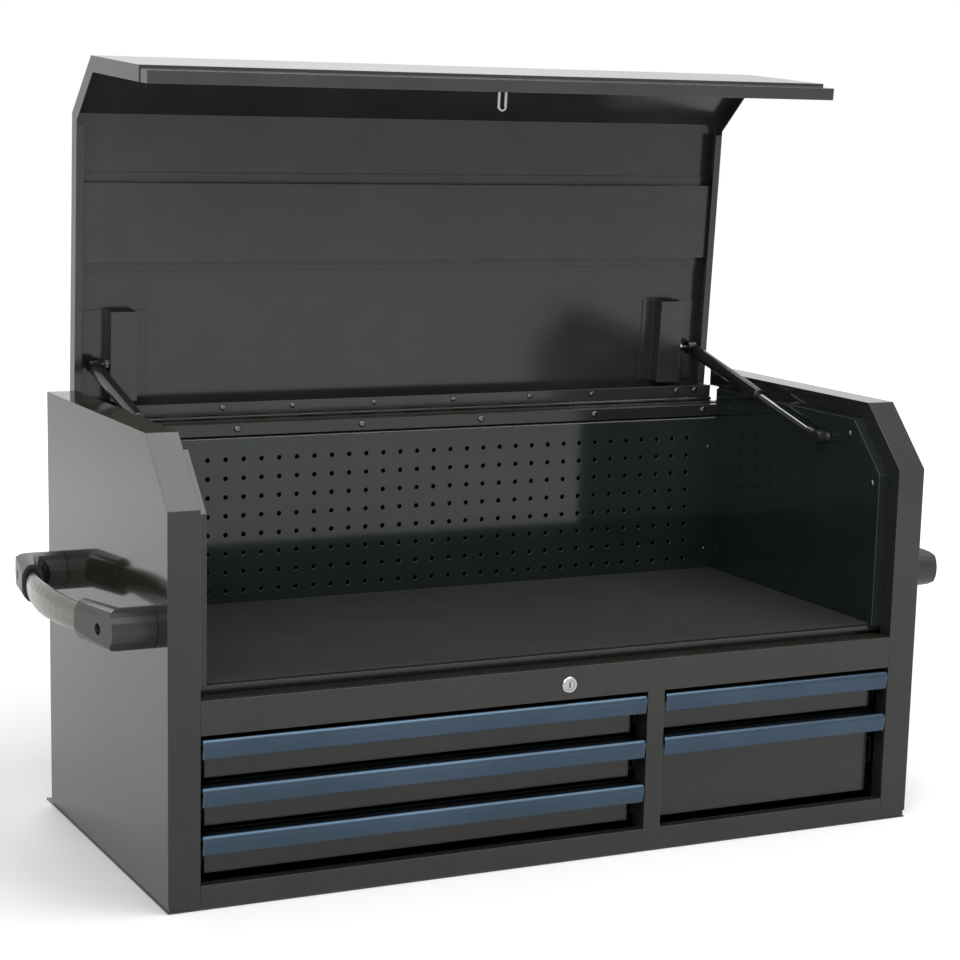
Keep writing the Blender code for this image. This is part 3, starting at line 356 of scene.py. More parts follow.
def make_bright(name, colour, roughness):
    """Polished metal with fine wiping marks."""
    recipe = Recipe(name)
    rounded = rounded_normal(recipe, 0.0004)
    marks = noise(recipe, 260.0, 4.0, 0.7, (1.0, 0.2, 1.0))
    haze = noise(recipe, 60.0, 3.0)
    tone = blend_colours(recipe, haze.between(0.4, 0.8) * 0.35, colour, tuple(0.7 * c for c in colour))
    recipe.varying(Base_Color=tone, Roughness=roughness + 0.10 * marks.between(0.5, 0.8) + 0.05 * haze,
                   Normal=relief(recipe, marks, 0.000004, rounded))
    recipe.constant(Metallic=1.0)
    return recipe.material


black_zinc = make_black_zinc("black zinc")
blue_anodising = make_anodised("blue anodising", (0.042, 0.064, 0.090), (0.20, 0.30, 0.38))
grip_aluminium = make_bright("grip aluminium", (0.18, 0.182, 0.166), 0.20)
chrome = make_bright("bright chrome", (0.40, 0.40, 0.415), 0.12)
nickel = make_bright("screw nickel", (0.15, 0.15, 0.138), 0.16)
print("Metals:", black_zinc.name, blue_anodising.name, grip_aluminium.name, chrome.name, nickel.name)

# %% [markdown]
# ## Two finishes on one piece
# A drawer's slide member is riveted to its side, so the CAD has both as one piece. The finish then
# asks where it is: near either end of the drawer's width it is black zinc, and elsewhere enamel.
# The same trick makes the socket at the end of a strut's rod black plastic on a chrome rod.

# %% Drawers and strut rods
MEMBER_DEPTH = 0.0083
SOCKET_RADIUS = 0.0115


def make_drawer_finish(name, drawer):
    """Enamel with black zinc on the slide members, for the drawers as wide as this one."""
    low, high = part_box(drawer)
    left, right = low[0] + MEMBER_DEPTH, high[0] - MEMBER_DEPTH

    def members(recipe):
        across = coordinate(recipe, "X")
        share = (across < left).most(across > right)
        return (share, *blackened_zinc(recipe))

    return make_enamel(name, (0.014, 0.0145, 0.013), 0.13, 0.000016, second=members)


def make_rod_finish(name, ball):
    """Chrome, and black plastic round the ball that the rod's socket turns on."""
    recipe = Recipe(name)
    rounded = rounded_normal(recipe, 0.0006)
    near, up = coordinate(recipe, "Y") - ball[1], coordinate(recipe, "Z") - ball[2]
    socket_share = (near * near + up * up) < SOCKET_RADIUS ** 2
    marks = noise(recipe, 260.0, 4.0, 0.7)
    tone = blend_colours(recipe, marks * 0.3, (0.70, 0.71, 0.73), (0.45, 0.45, 0.47))
    tone = blend_colours(recipe, socket_share, tone, (0.012, 0.012, 0.012))
    recipe.varying(Base_Color=tone, Roughness=blend_numbers(socket_share, 0.06 + 0.08 * marks, 0.32),
                   Metallic=1 - socket_share, Normal=relief(recipe, marks, 0.000004, rounded))
    return recipe.material


BALL_PLACE = (0.4550, -0.0871, 0.4992)
wide_drawer_finish = make_drawer_finish("wide drawer finish", "drawer_box_1")
narrow_drawer_finish = make_drawer_finish("narrow drawer finish", "drawer_box_4")
rod_finish = make_rod_finish("strut rod finish", BALL_PLACE)
print("Mixed finishes:", wide_drawer_finish.name, narrow_drawer_finish.name, rod_finish.name)

# %% [markdown]
# ## Rubber, moulded plastic and black paint
# The mat is foam rubber, matt and full of tiny pores. The handles' elbows are moulded plastic with
# a fine leather grain that breaks up their sheen. The strut cylinders are sprayed a smooth black.

# %% Soft and moulded finishes
def make_foam_rubber(name, colour):
    """Closed-cell foam: matt, with pores and a little lint."""
    recipe = Recipe(name)
    pores = cells(recipe, 900.0).between(0.10, 0.55)
    patches = noise(recipe, 14.0, 5.0, 0.6)
    lint = (cells(recipe, 120.0) < 0.035) * patches
    tone = blend_colours(recipe, patches.between(0.3, 0.7), colour, tuple(1.2 * c for c in colour))
    # Painted shade: the pores' hollows are darkened.
    tone = blend_colours(recipe, (1 - pores) * 0.4, tone, tuple(0.5 * c for c in colour))
    tone = blend_colours(recipe, lint * 0.4, tone, (0.10, 0.10, 0.10))
    height = pores * 0.6 + noise(recipe, 240.0, 3.0) * 0.6
    flat = recipe.node("ShaderNodeNewGeometry", output="Normal")
    recipe.varying(Base_Color=tone, Roughness=0.70 + 0.14 * patches, Normal=relief(recipe, height, 0.00012, flat))
    recipe.constant(Specular_IOR_Level=0.22)
    return recipe.material


def make_moulded(name, colour, edge_highlight_and_grain_colour):
    """Moulded plastic with a fine leather grain, and a painted highlight on its edges."""
    recipe = Recipe(name)
    rounded = rounded_normal(recipe, 0.0009)
    edge = edge_mask(recipe, rounded)
    grain = cells(recipe, 620.0, "SMOOTH_F1").between(0.05, 0.6)
    patches = noise(recipe, 25.0, 4.0, 0.6)
    tone = blend_colours(recipe, patches.between(0.3, 0.7), colour, tuple(1.4 * c for c in colour))
    # Painted highlight: the edges are lightened towards olive; the grain's faint lightening is the plastic's own.
    tone = blend_colours(recipe, edge * 0.5 + grain * 0.06, tone, edge_highlight_and_grain_colour)
    recipe.varying(Base_Color=tone, Roughness=0.27 + 0.10 * grain + 0.08 * patches,
                   Normal=relief(recipe, grain, 0.00004, rounded))
    recipe.constant(Specular_IOR_Level=0.5)
    return recipe.material


def make_gloss_black(name, colour):
    """Smooth sprayed black with light rubbing."""
    recipe = Recipe(name)
    rounded = rounded_normal(recipe, 0.0006)
    edge = edge_mask(recipe, rounded)
    rub = noise(recipe, 90.0, 5.0, 0.7)
    tone = blend_colours(recipe, rub.between(0.55, 0.85) * 0.4, colour, tuple(3 * c for c in colour))
    tone = blend_colours(recipe, edge * rub * 0.7, tone, (0.12, 0.12, 0.12))
    recipe.varying(Base_Color=tone, Roughness=0.16 + 0.14 * rub,
                   Normal=relief(recipe, noise(recipe, 700.0), 0.000008, rounded))
    return recipe.material


foam_rubber = make_foam_rubber("mat rubber", (0.019, 0.019, 0.020))
handle_plastic = make_moulded("handle plastic", (0.012, 0.013, 0.010), (0.060, 0.063, 0.048))
cylinder_black = make_gloss_black("cylinder black", (0.008, 0.008, 0.009))
print("Soft and moulded:", foam_rubber.name, handle_plastic.name, cylinder_black.name)

# %% [markdown]
# ## Dress the CAD pieces
# A CAD piece keeps its shape and only swaps the material in its slot.

# %% Finishes for the CAD pieces
FINISHES = {
    "side_shell": side_enamel,
    "base_pan": body_enamel,
    "back_panel": body_enamel,
    "face_frame": body_enamel,
    "rear_rail": body_enamel,
    "drawer_box_1": wide_drawer_finish,
    "drawer_box_2": wide_drawer_finish,
    "drawer_box_3": wide_drawer_finish,
    "drawer_box": narrow_drawer_finish,
    "till_floor": body_enamel,
    "side_liner": till_enamel,
    "peg_back": till_enamel,
    "lid_shell": lid_enamel,
    "lid_channel": lid_enamel,
    "strut_bracket": lid_enamel,
    "hinge_fixed_leaf": body_enamel,
    "hinge_lid_leaf": lid_enamel,
    "hinge_pin": black_zinc,
    "slide_rack": black_zinc,
    "slide_runner": black_zinc,
    "centre_partition": black_zinc,
    "lock_cam": black_zinc,
    "lock_housing": chrome,
    "lock_plug": chrome,
    "lid_catch": chrome,
    "ball_stud": chrome,
    "strut_rod": rod_finish,
    "strut_cylinder": cylinder_black,
    "drawer_pull": blue_anodising,
    "handle_bar": grip_aluminium,
    "handle_": handle_plastic,
    "floor_mat": foam_rubber,
}


def dress(node, material):
    """Put a finish in each of a CAD piece's material slots."""
    for index in range(len(node.data.materials)):
        node.data.materials[index] = material


for name, node in nodes.items():
    finish = [FINISHES[start] for start in FINISHES if name.startswith(start)]
    dress(node, finish[0])
print("Dressed", len(nodes), "CAD pieces in", len(set(FINISHES.values())), "finishes")

# %% [markdown]
# ## Geometry that repeats
# The false back has hundreds of equal holes and the chest dozens of equal screws. Geometry Nodes
# make such things from one small tree with named inputs. A Blueprint is such a tree. `grow` runs it
# on a start mesh and keeps the result as a plain mesh, because instances would be lost later.

# %% Blueprints
class Blueprint(Graph):
    """A Geometry Nodes tree being put together."""

    def __init__(self, name):
        super().__init__(bpy.data.node_groups.new(name, "GeometryNodeTree"))
        self.identifiers = {}
        self.start = self.tree.nodes.new("NodeGroupInput")
        self.tree.interface.new_socket("Geometry", in_out="OUTPUT", socket_type="NodeSocketGeometry")

    def take(self, name, kind):
        """Add a named input, and hand back the wire that comes out of it."""
        item = self.tree.interface.new_socket(name, in_out="INPUT", socket_type=f"NodeSocket{kind}")
        self.identifiers[name] = item.identifier
        return Wire(self, self.find(self.start.outputs, item.identifier))

    def joined(self, *wires):
        """Several geometries as one."""
        together = self.tree.nodes.new("GeometryNodeJoinGeometry")
        for wire in wires:
            self.fill(together.inputs[0], wire)
        return Wire(self, together.outputs[0])

    def hand_back(self, geometry, finish):
        """End the tree with real geometry in place of instances, and with its material."""
        real = self.node("GeometryNodeRealizeInstances", None, {"Geometry": geometry})
        dressed = self.node("GeometryNodeSetMaterial", None, {"Geometry": real, "Material": finish})
        self.fill(self.tree.nodes.new("NodeGroupOutput").inputs[0], dressed)


def add_piece(name, mesh):
    """Put a mesh in the scene."""
    piece = bpy.data.objects.new(name, mesh)
    bpy.context.scene.collection.objects.link(piece)
    return piece


def grow(name, blueprint, start_mesh, inputs):
    """Run a geometry tree on a start mesh, and keep what it makes as a plain mesh."""
    piece = add_piece(name, start_mesh)
    modifier = piece.modifiers.new(name, "NODES")
    modifier.node_group = blueprint.tree
    for key, value in inputs.items():
        modifier[blueprint.identifiers[key]] = value
    graph = bpy.context.evaluated_depsgraph_get()
    grown = bpy.data.meshes.new_from_object(piece.evaluated_get(graph))
    piece.modifiers.remove(modifier)
    piece.data = grown
    return piece


def settle(piece, body):
    """Say which CAD body a finished piece moves with."""
    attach(piece, body)
    piece.data.calc_loop_triangles()
    print(piece.name, "rides on", body, "with", len(piece.data.loop_triangles), "triangles")
    return piece


print("Blueprints ready")

# %% [markdown]
# ## The perforated back
# The false back of the till is sheet steel, punched with a square grid of holes and folded to the
# rear along its edges. The tree draws the sheet's outline and one circle per grid point, fills
# between them and gives the sheet its thickness. Drawn flat, the sheet is then stood up.
# Filling curves keeps every hole round and open, which a boolean for each hole would do far slower.

# %% Perforated sheet
HOLE_PITCH = 0.0254
HOLE_COLUMNS = 34
HOLE_ROWS = 8
HOLE_RADIUS = 0.0033
HOLE_SIDES = 16
LOWEST_HOLES = 0.2830
SHEET = 0.0012


def make_perforated_blueprint():
    """Sheet with a grid of round holes, drawn flat round the middle of the grid."""
    plan = Blueprint("perforated sheet")
    outline = plan.take("Outline", "Geometry")
    columns, rows = plan.take("Columns", "Int"), plan.take("Rows", "Int")
    pitch, radius = plan.take("Pitch", "Float"), plan.take("Hole radius", "Float")
    sides, thickness = plan.take("Hole sides", "Int"), plan.take("Thickness", "Float")
    finish = plan.take("Finish", "Material")
    grid = plan.node("GeometryNodeMeshGrid", None, {
        "Size X": (columns - 1) * pitch, "Size Y": (rows - 1) * pitch, "Vertices X": columns, "Vertices Y": rows})
    ring = plan.node("GeometryNodeCurvePrimitiveCircle", {"mode": "RADIUS"}, {"Resolution": sides, "Radius": radius})
    holes = plan.node("GeometryNodeInstanceOnPoints", None, {"Points": grid, "Instance": ring})
    holes = plan.node("GeometryNodeRealizeInstances", None, {"Geometry": holes})
    border = plan.node("GeometryNodeMeshToCurve", None, {"Mesh": outline})
    face = plan.node("GeometryNodeFillCurve", {"mode": "TRIANGLES"}, {"Curve": plan.joined(border, holes)})
    front = plan.node("GeometryNodeExtrudeMesh", {"mode": "FACES"},
                      {"Mesh": face, "Offset Scale": thickness, "Individual": False})
    rear = plan.node("GeometryNodeFlipFaces", None, {"Mesh": face})
    sheet = plan.node("GeometryNodeMergeByDistance", None,
                      {"Geometry": plan.joined(front, rear), "Distance": 0.00001})
    plan.hand_back(sheet, finish)
    return plan


def flat_outline(left, right, low, high):
    """A rectangle in the XY plane."""
    mesh = bpy.data.meshes.new("outline")
    mesh.from_pydata([(left, low, 0), (right, low, 0), (right, high, 0), (left, high, 0)], [], [(0, 1, 2, 3)])
    return mesh


def add_flanges(mesh, low, high):
    """Add the four folded edges behind a sheet, as a frame of sheet thickness."""
    shape = bmesh.new()
    shape.from_mesh(mesh)
    corners = []
    for inset in (0.0, SHEET):
        for depth in (low[1] + 0.8 * SHEET, high[1]):
            left, right = low[0] + inset, high[0] - inset
            bottom, top = low[2] + inset, high[2] - inset
            ring = [(left, depth, bottom), (right, depth, bottom), (right, depth, top), (left, depth, top)]
            corners.append([shape.verts.new(corner) for corner in ring])
    outer_near, outer_far, inner_near, inner_far = corners
    for i in range(4):
        j = (i + 1) % 4
        shape.faces.new((outer_near[i], outer_near[j], outer_far[j], outer_far[i]))
        shape.faces.new((inner_near[j], inner_near[i], inner_far[i], inner_far[j]))
        shape.faces.new((outer_far[i], outer_far[j], inner_far[j], inner_far[i]))
        shape.faces.new((inner_near[i], inner_near[j], outer_near[j], outer_near[i]))
    bmesh.ops.recalc_face_normals(shape, faces=shape.faces[-16:])
    shape.to_mesh(mesh)
    shape.free()


peg_low, peg_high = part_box("peg_back")
grid_middle = LOWEST_HOLES + HOLE_PITCH * (HOLE_ROWS - 1) / 2
perforated_blueprint = make_perforated_blueprint()
perforated_back = grow(
    "perforated_back", perforated_blueprint,
    flat_outline(peg_low[0], peg_high[0], peg_low[2] - grid_middle, peg_high[2] - grid_middle),
    {"Columns": HOLE_COLUMNS, "Rows": HOLE_ROWS, "Pitch": HOLE_PITCH, "Hole radius": HOLE_RADIUS,
     "Hole sides": HOLE_SIDES, "Thickness": SHEET, "Finish": till_enamel})
stand_up = Matrix.Translation((0, peg_low[1] + SHEET, grid_middle)) @ Matrix.Rotation(math.radians(90), 4, "X")
perforated_back.data.transform(stand_up)
add_flanges(perforated_back.data, peg_low, peg_high)
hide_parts("peg_back")
settle(perforated_back, "cabinet")

# %% [markdown]
# ## The foam mat
# The mat is a cut sheet of foam rubber that lies loose on the till floor. It isn't quite flat: it
# keeps a soft wave from the roll that it was cut from, and its cut edge is slightly rounded.

# %% Foam mat
MAT_STEPS = (96, 40)
MAT_EDGE = 0.0012
MAT_WAVE = 0.00035
FIRST_RIM_DROP, SECOND_RIM_DROP, THIRD_RIM_DROP = 0.0003, 0.0010, 0.0018


def mat_height(low, high, across, along):
    """Height of the mat's top at a place, dipping where the roll's wave does."""
    wave = math.sin(9.0 * across + 1.3) * math.sin(14.0 * along + 0.4) + 0.5 * math.sin(31.0 * across + 8.0 * along)
    return high[2] - MAT_WAVE * (0.5 + wave / 3)


def make_mat_mesh(low, high):
    """Top, rounded rim and flat underside of the mat."""
    steps_x, steps_y = MAT_STEPS
    shape = bmesh.new()
    grid = []
    for j in range(steps_y + 1):
        row = []
        for i in range(steps_x + 1):
            x = low[0] + MAT_EDGE + (high[0] - low[0] - 2 * MAT_EDGE) * i / steps_x
            y = low[1] + MAT_EDGE + (high[1] - low[1] - 2 * MAT_EDGE) * j / steps_y
            row.append(shape.verts.new((x, y, mat_height(low, high, x, y))))
        grid.append(row)
    for j in range(steps_y):
        for i in range(steps_x):
            shape.faces.new((grid[j][i], grid[j][i + 1], grid[j + 1][i + 1], grid[j + 1][i]))
    rim = grid[0] + [row[-1] for row in grid[1:-1]] + grid[-1][::-1] + [row[0] for row in grid[-2:0:-1]]
    middle = Vector(((low[0] + high[0]) / 2, (low[1] + high[1]) / 2, 0))
    rim_steps = ((0.3, FIRST_RIM_DROP), (0.8, SECOND_RIM_DROP), (1.0, THIRD_RIM_DROP), (1.0, high[2] - low[2]))
    previous = rim
    for out, drop in rim_steps:
        outer = []
        for vertex in rim:
            place = vertex.co.copy()
            for axis in (0, 1):
                edge = (low[axis] if place[axis] < middle[axis] else high[axis])
                inner = edge + (MAT_EDGE if place[axis] < middle[axis] else -MAT_EDGE)
                if abs(place[axis] - inner) < MAT_EDGE:
                    place[axis] = inner + (edge - inner) * out
            place.z = high[2] - drop
            outer.append(place)
        ring = [shape.verts.new(place) for place in outer]
        for k in range(len(rim)):
            n = (k + 1) % len(rim)
            shape.faces.new((previous[k], ring[k], ring[n], previous[n]))
        previous = ring
    shape.faces.new(previous[::-1])
    mesh = bpy.data.meshes.new("foam_mat")
    shape.to_mesh(mesh)
    shape.free()
    mesh.shade_smooth()
    mesh.materials.append(foam_rubber)
    return mesh


mat_low, mat_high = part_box("floor_mat")
foam_mat = add_piece("foam_mat", make_mat_mesh(mat_low, mat_high))
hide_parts("floor_mat")
settle(foam_mat, "cabinet")

# %% [markdown]
# ## Screws and rivets
# A fastener's head is turned from a short profile. The middle of a screw's head is cut in a cross
# and a bolt's in a hexagon, which here is a ring of corners at uneven radii. The tree puts a copy
# of a head on each point of a start mesh, facing the way that the point says, and turns each by a
# random angle, because no two screws are driven home alike.

# %% Fastener heads and blueprint
HEAD_SIDES = 24


def cross_shape(step):
    return 0.50 if step % 6 in (0, 1) else 0.17


def hexagon_shape(step):
    return 0.48 * math.cos(math.radians(30)) / math.cos(math.radians((step * 15) % 60 - 30))


def make_head(name, radius, height, shape_of=None, sides=HEAD_SIDES):
    """A head that stands on the origin and faces up. shape_of gives the recess in its middle."""
    profile = [(1.0, 0.0), (1.0, 0.28), (0.93, 0.60), (0.76, 0.86), (0.56, 1.0)]
    rings = [[(radius * r, height * h)] * sides for r, h in profile]
    if shape_of:
        rings.append([(radius * shape_of(i), height) for i in range(sides)])
        rings.append([(radius * 0.85 * shape_of(i), height * 0.35) for i in range(sides)])
    else:
        rings.append([(radius * 0.28, height * 1.06)] * sides)
    vertices = []
    for ring in rings:
        for i, (reach, level) in enumerate(ring):
            angle = math.tau * i / sides
            vertices.append((reach * math.cos(angle), reach * math.sin(angle), level))
    faces = [tuple(range(sides))[::-1], tuple(range((len(rings) - 1) * sides, len(rings) * sides))]
    for k in range(len(rings) - 1):
        for i in range(sides):
            j = (i + 1) % sides
            a, b = k * sides + i, k * sides + j
            faces.append((a, b, b + sides, a + sides))
    mesh = bpy.data.meshes.new(name)
    mesh.from_pydata(vertices, [], faces)
    mesh.shade_smooth()
    mesh.set_sharp_from_angle(angle=math.radians(35))
    return bpy.data.objects.new(name, mesh)


def make_fastener_blueprint():
    """Copies of a head on points, each facing the way that its point says."""
    plan = Blueprint("fasteners")
    points = plan.take("Points", "Geometry")
    head, seed = plan.take("Head", "Object"), plan.take("Seed", "Int")
    finish = plan.take("Finish", "Material")
    facing = plan.node("GeometryNodeInputNamedAttribute", {"data_type": "FLOAT_VECTOR"}, {"Name": "facing"})
    turn = plan.node("FunctionNodeAlignRotationToVector", {"axis": "Z"}, {"Vector": facing})
    angle = plan.node("FunctionNodeRandomValue", {"data_type": "FLOAT"},
                      {"Min_001": 0.0, "Max_001": math.tau, "Seed": seed}, "Value_001")
    twist = plan.node("FunctionNodeAxisAngleToRotation", None, {"Axis": (0, 0, 1), "Angle": angle})
    turn = plan.node("FunctionNodeRotateRotation", {"rotation_space": "LOCAL"},
                     {"Rotation": turn, "Rotate By": twist})
    shape = plan.node("GeometryNodeObjectInfo", None, {"Object": head}, "Geometry")
    copies = plan.node("GeometryNodeInstanceOnPoints", None, {"Points": points, "Instance": shape, "Rotation": turn})
    plan.hand_back(copies, finish)
    return plan


def add_fasteners(name, places, head, finish, body, seed=1):
    """One mesh of fasteners: places are pairs of a point on the surface and the way it faces."""
    start_mesh = bpy.data.meshes.new(name)
    start_mesh.from_pydata([point for point, facing in places], [], [])
    ways = start_mesh.attributes.new("facing", "FLOAT_VECTOR", "POINT")
    for item, (point, facing) in zip(ways.data, places):
        item.vector = facing
    inputs = {"Head": head, "Seed": seed, "Finish": finish}
    return settle(grow(name, fastener_blueprint, start_mesh, inputs), body)


def both_sides(places):
    """The same places on the other side of the chest as well."""
    flipped = [((-p[0], p[1], p[2]), (-f[0], f[1], f[2])) for p, f in places]
    return places + flipped


fastener_blueprint = make_fastener_blueprint()
rail_head = make_head("rail head", 0.0046, 0.0024, cross_shape)
leaf_head = make_head("leaf head", 0.0040, 0.0020, cross_shape)
bolt_head = make_head("bolt head", 0.0058, 0.0040, hexagon_shape)
dome_head = make_head("dome head", 0.0028, 0.0010, None, 14)
print("Heads:", [(head.name, len(head.data.polygons)) for head in (rail_head, leaf_head, bolt_head, dome_head)])

# %% [markdown]
# ## Where the fasteners go
# Six screws hold the rear ledge and ten the hinge's leaf to the lid. Small rivets hold the
# perforated back at its ends and screws the side liners. A bolt sits deep in each handle elbow, and
# rivets hold each drawer's slide members, which show when a drawer is open.

# %% Fasteners on the cabinet and the lid
TO_FRONT, TO_LEFT = (0.0, -1.0, 0.0), (-1.0, 0.0, 0.0)
RAIL_SCREWS = (0.0960, 0.2759, 0.4558, -0.0839, -0.2638, -0.4437)
LEAF_SCREWS = (0.0605, 0.1810, 0.2813, 0.4229, 0.4536)
OPEN_ANGLE = math.radians(86.5)
LEAF_FACING = (0.0, -math.sin(OPEN_ANGLE), -math.cos(OPEN_ANGLE))
LEAF_SCREW_DEPTH, LEAF_SCREW_LEVEL = 0.2363, 0.5251
RAIL_SCREW_LEVEL = 0.5016
RIVET_REACH, RIVET_LEVELS = 0.4560, (0.2950, 0.4465)
LINER_SCREWS = ((-0.1433, 0.5116), (-0.1998, 0.4529))
BOLT_PLACES = (-0.1709, 0.1675)
BOLT_SEAT, HANDLE_LEVEL = -0.5609, 0.3306

rail_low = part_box("rear_rail")[0]
liner_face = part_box("side_liner_right")[0][0]
rail_screws = [((-x, rail_low[1], RAIL_SCREW_LEVEL), TO_FRONT) for x in RAIL_SCREWS]
liner_screws = both_sides([((liner_face, y, z), TO_LEFT) for y, z in LINER_SCREWS])
add_fasteners("rail_screws", rail_screws + liner_screws, rail_head, nickel, "cabinet", 3)
edge_rivets = both_sides([((RIVET_REACH, peg_low[1], z), TO_FRONT) for z in RIVET_LEVELS])
add_fasteners("edge_rivets", edge_rivets, dome_head, nickel, "cabinet", 5)
handle_bolts = both_sides([((BOLT_SEAT, y, HANDLE_LEVEL), TO_LEFT) for y in BOLT_PLACES])
add_fasteners("handle_bolts", handle_bolts, bolt_head, black_zinc, "cabinet", 7)
leaf_screws = both_sides([((x, LEAF_SCREW_DEPTH, LEAF_SCREW_LEVEL), LEAF_FACING) for x in LEAF_SCREWS])
add_fasteners("leaf_screws", leaf_screws, leaf_head, nickel, "lid", 9)

# %% [markdown]
# The drawers' rivets are counted off from the slides' own boxes, so they follow the CAD.

# %% Rivets on the drawers' slide members
MEMBER_FACE = 0.0120
PULL_GAP = 0.0027
END_MARGIN = 0.030


def drawer_rivets(number):
    """Three rivets on each slide member of a drawer, facing the slide's middle member."""
    places = []
    for side, sign in (("left", 1), ("right", -1)):
        low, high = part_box(f"slide_runner_{number}_{side}")
        drawer_low, drawer_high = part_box(f"drawer_pull_{number}")
        edge = (drawer_low[0] - PULL_GAP) if side == "left" else (drawer_high[0] + PULL_GAP)
        level = (low[2] + high[2]) / 2
        for y in (low[1] + END_MARGIN, (low[1] + high[1]) / 2, high[1] - END_MARGIN):
            places.append(((edge + sign * MEMBER_FACE, y, level), (-sign, 0.0, 0.0)))
    return places


for number in range(1, 6):
    add_fasteners(f"slide_rivets_{number}", drawer_rivets(number), dome_head, nickel,
                  f"drawer_{number}", number)
for head in (rail_head, leaf_head, bolt_head, dome_head):
    bpy.data.objects.remove(head)

# %% [markdown]
# ## Strut ends
# At the cabinet the rod screws into a plastic socket with a tapered neck, which snaps on the ball
# stud. At the lid a bright hexagon nut holds the stud to its bracket. Both are short turned pieces
# along an axis, so one function lays rings of corners along it and closes the ends.

# %% Necks and nuts
LID_PIVOT = (0.4550, 0.2556, 0.5859)
NUT_FAR_END, NUT_LENGTH, NUT_BEVEL = 0.0217, 0.0060, 0.0006
NUT_RADIUS, NUT_FACE_RADIUS = 0.0060, 0.0052
NECK = ((0.0070, 0.0062), (0.0150, 0.0060), (0.0240, 0.0052), (0.0265, 0.0048), (0.0265, 0.0042))


def ringed_mesh(name, start, direction, profile, sides, finish):
    """Rings of corners along an axis from pairs of distance and radius, closed at both ends."""
    axis = Vector(direction).normalized()
    side = axis.orthogonal().normalized()
    other = axis.cross(side)
    vertices = []
    for along, radius in profile:
        for i in range(sides):
            angle = math.tau * i / sides
            reach = side * math.cos(angle) + other * math.sin(angle)
            vertices.append(Vector(start) + axis * along + reach * radius)
    last = (len(profile) - 1) * sides
    faces = [tuple(range(sides))[::-1], tuple(range(last, last + sides))]
    for k in range(len(profile) - 1):
        for i in range(sides):
            j = (i + 1) % sides
            faces.append((k * sides + i, k * sides + j, (k + 1) * sides + j, (k + 1) * sides + i))
    mesh = bpy.data.meshes.new(name)
    mesh.from_pydata(vertices, [], faces)
    mesh.shade_smooth()
    mesh.set_sharp_from_angle(angle=math.radians(35))
    mesh.materials.append(finish)
    return mesh


for side, sign in (("left", -1), ("right", 1)):
    ball = Vector((sign * BALL_PLACE[0], BALL_PLACE[1], BALL_PLACE[2]))
    pivot = Vector((sign * LID_PIVOT[0], LID_PIVOT[1], LID_PIVOT[2]))
    neck_mesh = ringed_mesh(f"strut_neck_{side}", ball, pivot - ball, NECK, 20, handle_plastic)
    settle(add_piece(f"strut_neck_{side}", neck_mesh), f"strut_rod_{side}")
    near_end = NUT_FAR_END - NUT_LENGTH
    nut = [(near_end, NUT_FACE_RADIUS), (near_end + NUT_BEVEL, NUT_RADIUS),
           (NUT_FAR_END - NUT_BEVEL, NUT_RADIUS), (NUT_FAR_END, NUT_RADIUS - NUT_BEVEL)]
    nut_mesh = ringed_mesh(f"stud_nut_{side}", pivot, (-sign, 0, 0), nut, 6, chrome)
    settle(add_piece(f"stud_nut_{side}", nut_mesh), f"strut_cylinder_{side}")

# %% [markdown]
# ## The studio
# A white floor, a white world and a few large lamps. Large lamps give soft edges to the highlights,
# and the dark enamel shows mostly what is mirrored in it, so where the lamps stand decides where the
# panels look pale. The background is white because the floor and the world glow faintly for the
# rays that the camera and mirrors send out, which adds no light to the chest, and the floor's glow
# is weakest near the chest so that the shadow under it stays.

# %% Floor, world and lamps
def seen_directly(graph):
    """One for the rays by which the camera, mirrors and glass see a thing, and nought for its light."""
    rays = [graph.node("ShaderNodeLightPath", output=ray)
            for ray in ("Is Camera Ray", "Is Glossy Ray", "Is Transmission Ray")]
    return rays[0].most(rays[1]).most(rays[2])


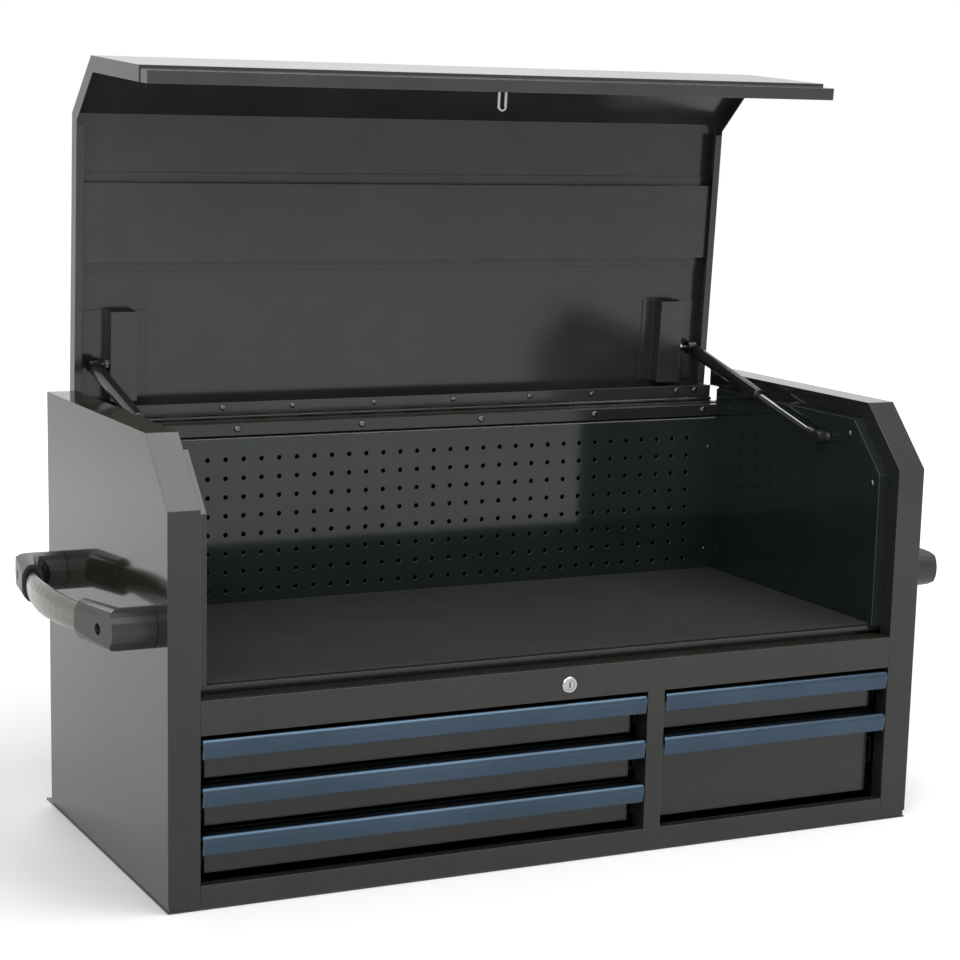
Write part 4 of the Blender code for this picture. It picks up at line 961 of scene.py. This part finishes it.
def make_floor_finish():
    """Nearly white, and glowing for the camera the further it is from the chest."""
    recipe = Recipe("studio floor")
    patches = noise(recipe, 3.0, 3.0)
    tone = blend_colours(recipe, patches, (0.84, 0.84, 0.84), (0.88, 0.88, 0.88))
    across, along = coordinate(recipe, "X"), coordinate(recipe, "Y")
    squared = across * across + along * along
    distance = squared.maths("SQRT", squared)
    level = blend_numbers(distance.between(0.9, 3.2), 0.10, 0.62) * seen_directly(recipe)
    glow = blend_colours(recipe, level, (0, 0, 0), (1, 1, 1))
    recipe.varying(Base_Color=tone, Roughness=0.8 + 0.1 * patches, Emission_Color=glow)
    recipe.constant(Emission_Strength=1.0)
    return recipe.material


def make_floor(size):
    mesh = bpy.data.meshes.new("studio floor")
    half = size / 2
    mesh.from_pydata([(-half, -half, 0), (half, -half, 0), (half, half, 0), (-half, half, 0)], [], [(0, 1, 2, 3)])
    mesh.materials.append(make_floor_finish())
    floor = add_piece("studio_floor", mesh)
    floor.location.z = -0.0006
    return floor


def make_world(strength):
    """Even light, and a background that cameras, mirrors and glass see as white."""
    world = bpy.data.worlds.new("studio")
    world.use_nodes = True
    bpy.context.scene.world = world
    sky = Graph(world.node_tree)
    level = strength + (1 - strength) * seen_directly(sky)
    background = world.node_tree.nodes["Background"]
    sky.fill(background.inputs["Strength"], level)
    background.inputs["Color"].default_value = (1, 1, 1, 1)
    return world


def add_lamp(name, place, target, size, power):
    """A rectangular soft lamp that points at a target."""
    light = bpy.data.lights.new(name, "AREA")
    light.shape = "RECTANGLE"
    light.size, light.size_y = size
    light.energy = power
    lamp = bpy.data.objects.new(name, light)
    lamp.location = place
    lamp.rotation_euler = (Vector(target) - Vector(place)).to_track_quat("-Z", "Y").to_euler()
    bpy.context.scene.collection.objects.link(lamp)
    return lamp


make_floor(40.0)
make_world(0.45)
add_lamp("key lamp", (-2.0, -2.4, 2.9), (0, 0, 0.4), (2.6, 2.0), 60.0)
add_lamp("top lamp", (0.8, -0.95, 2.9), (0.8, -0.90, 0), (2.6, 1.7), 60.0)
add_lamp("back lamp", (0.4, 2.6, 2.4), (0, 0, 0.4), (2.2, 1.0), 35.0)
bpy.context.scene.view_settings.view_transform = "Standard"
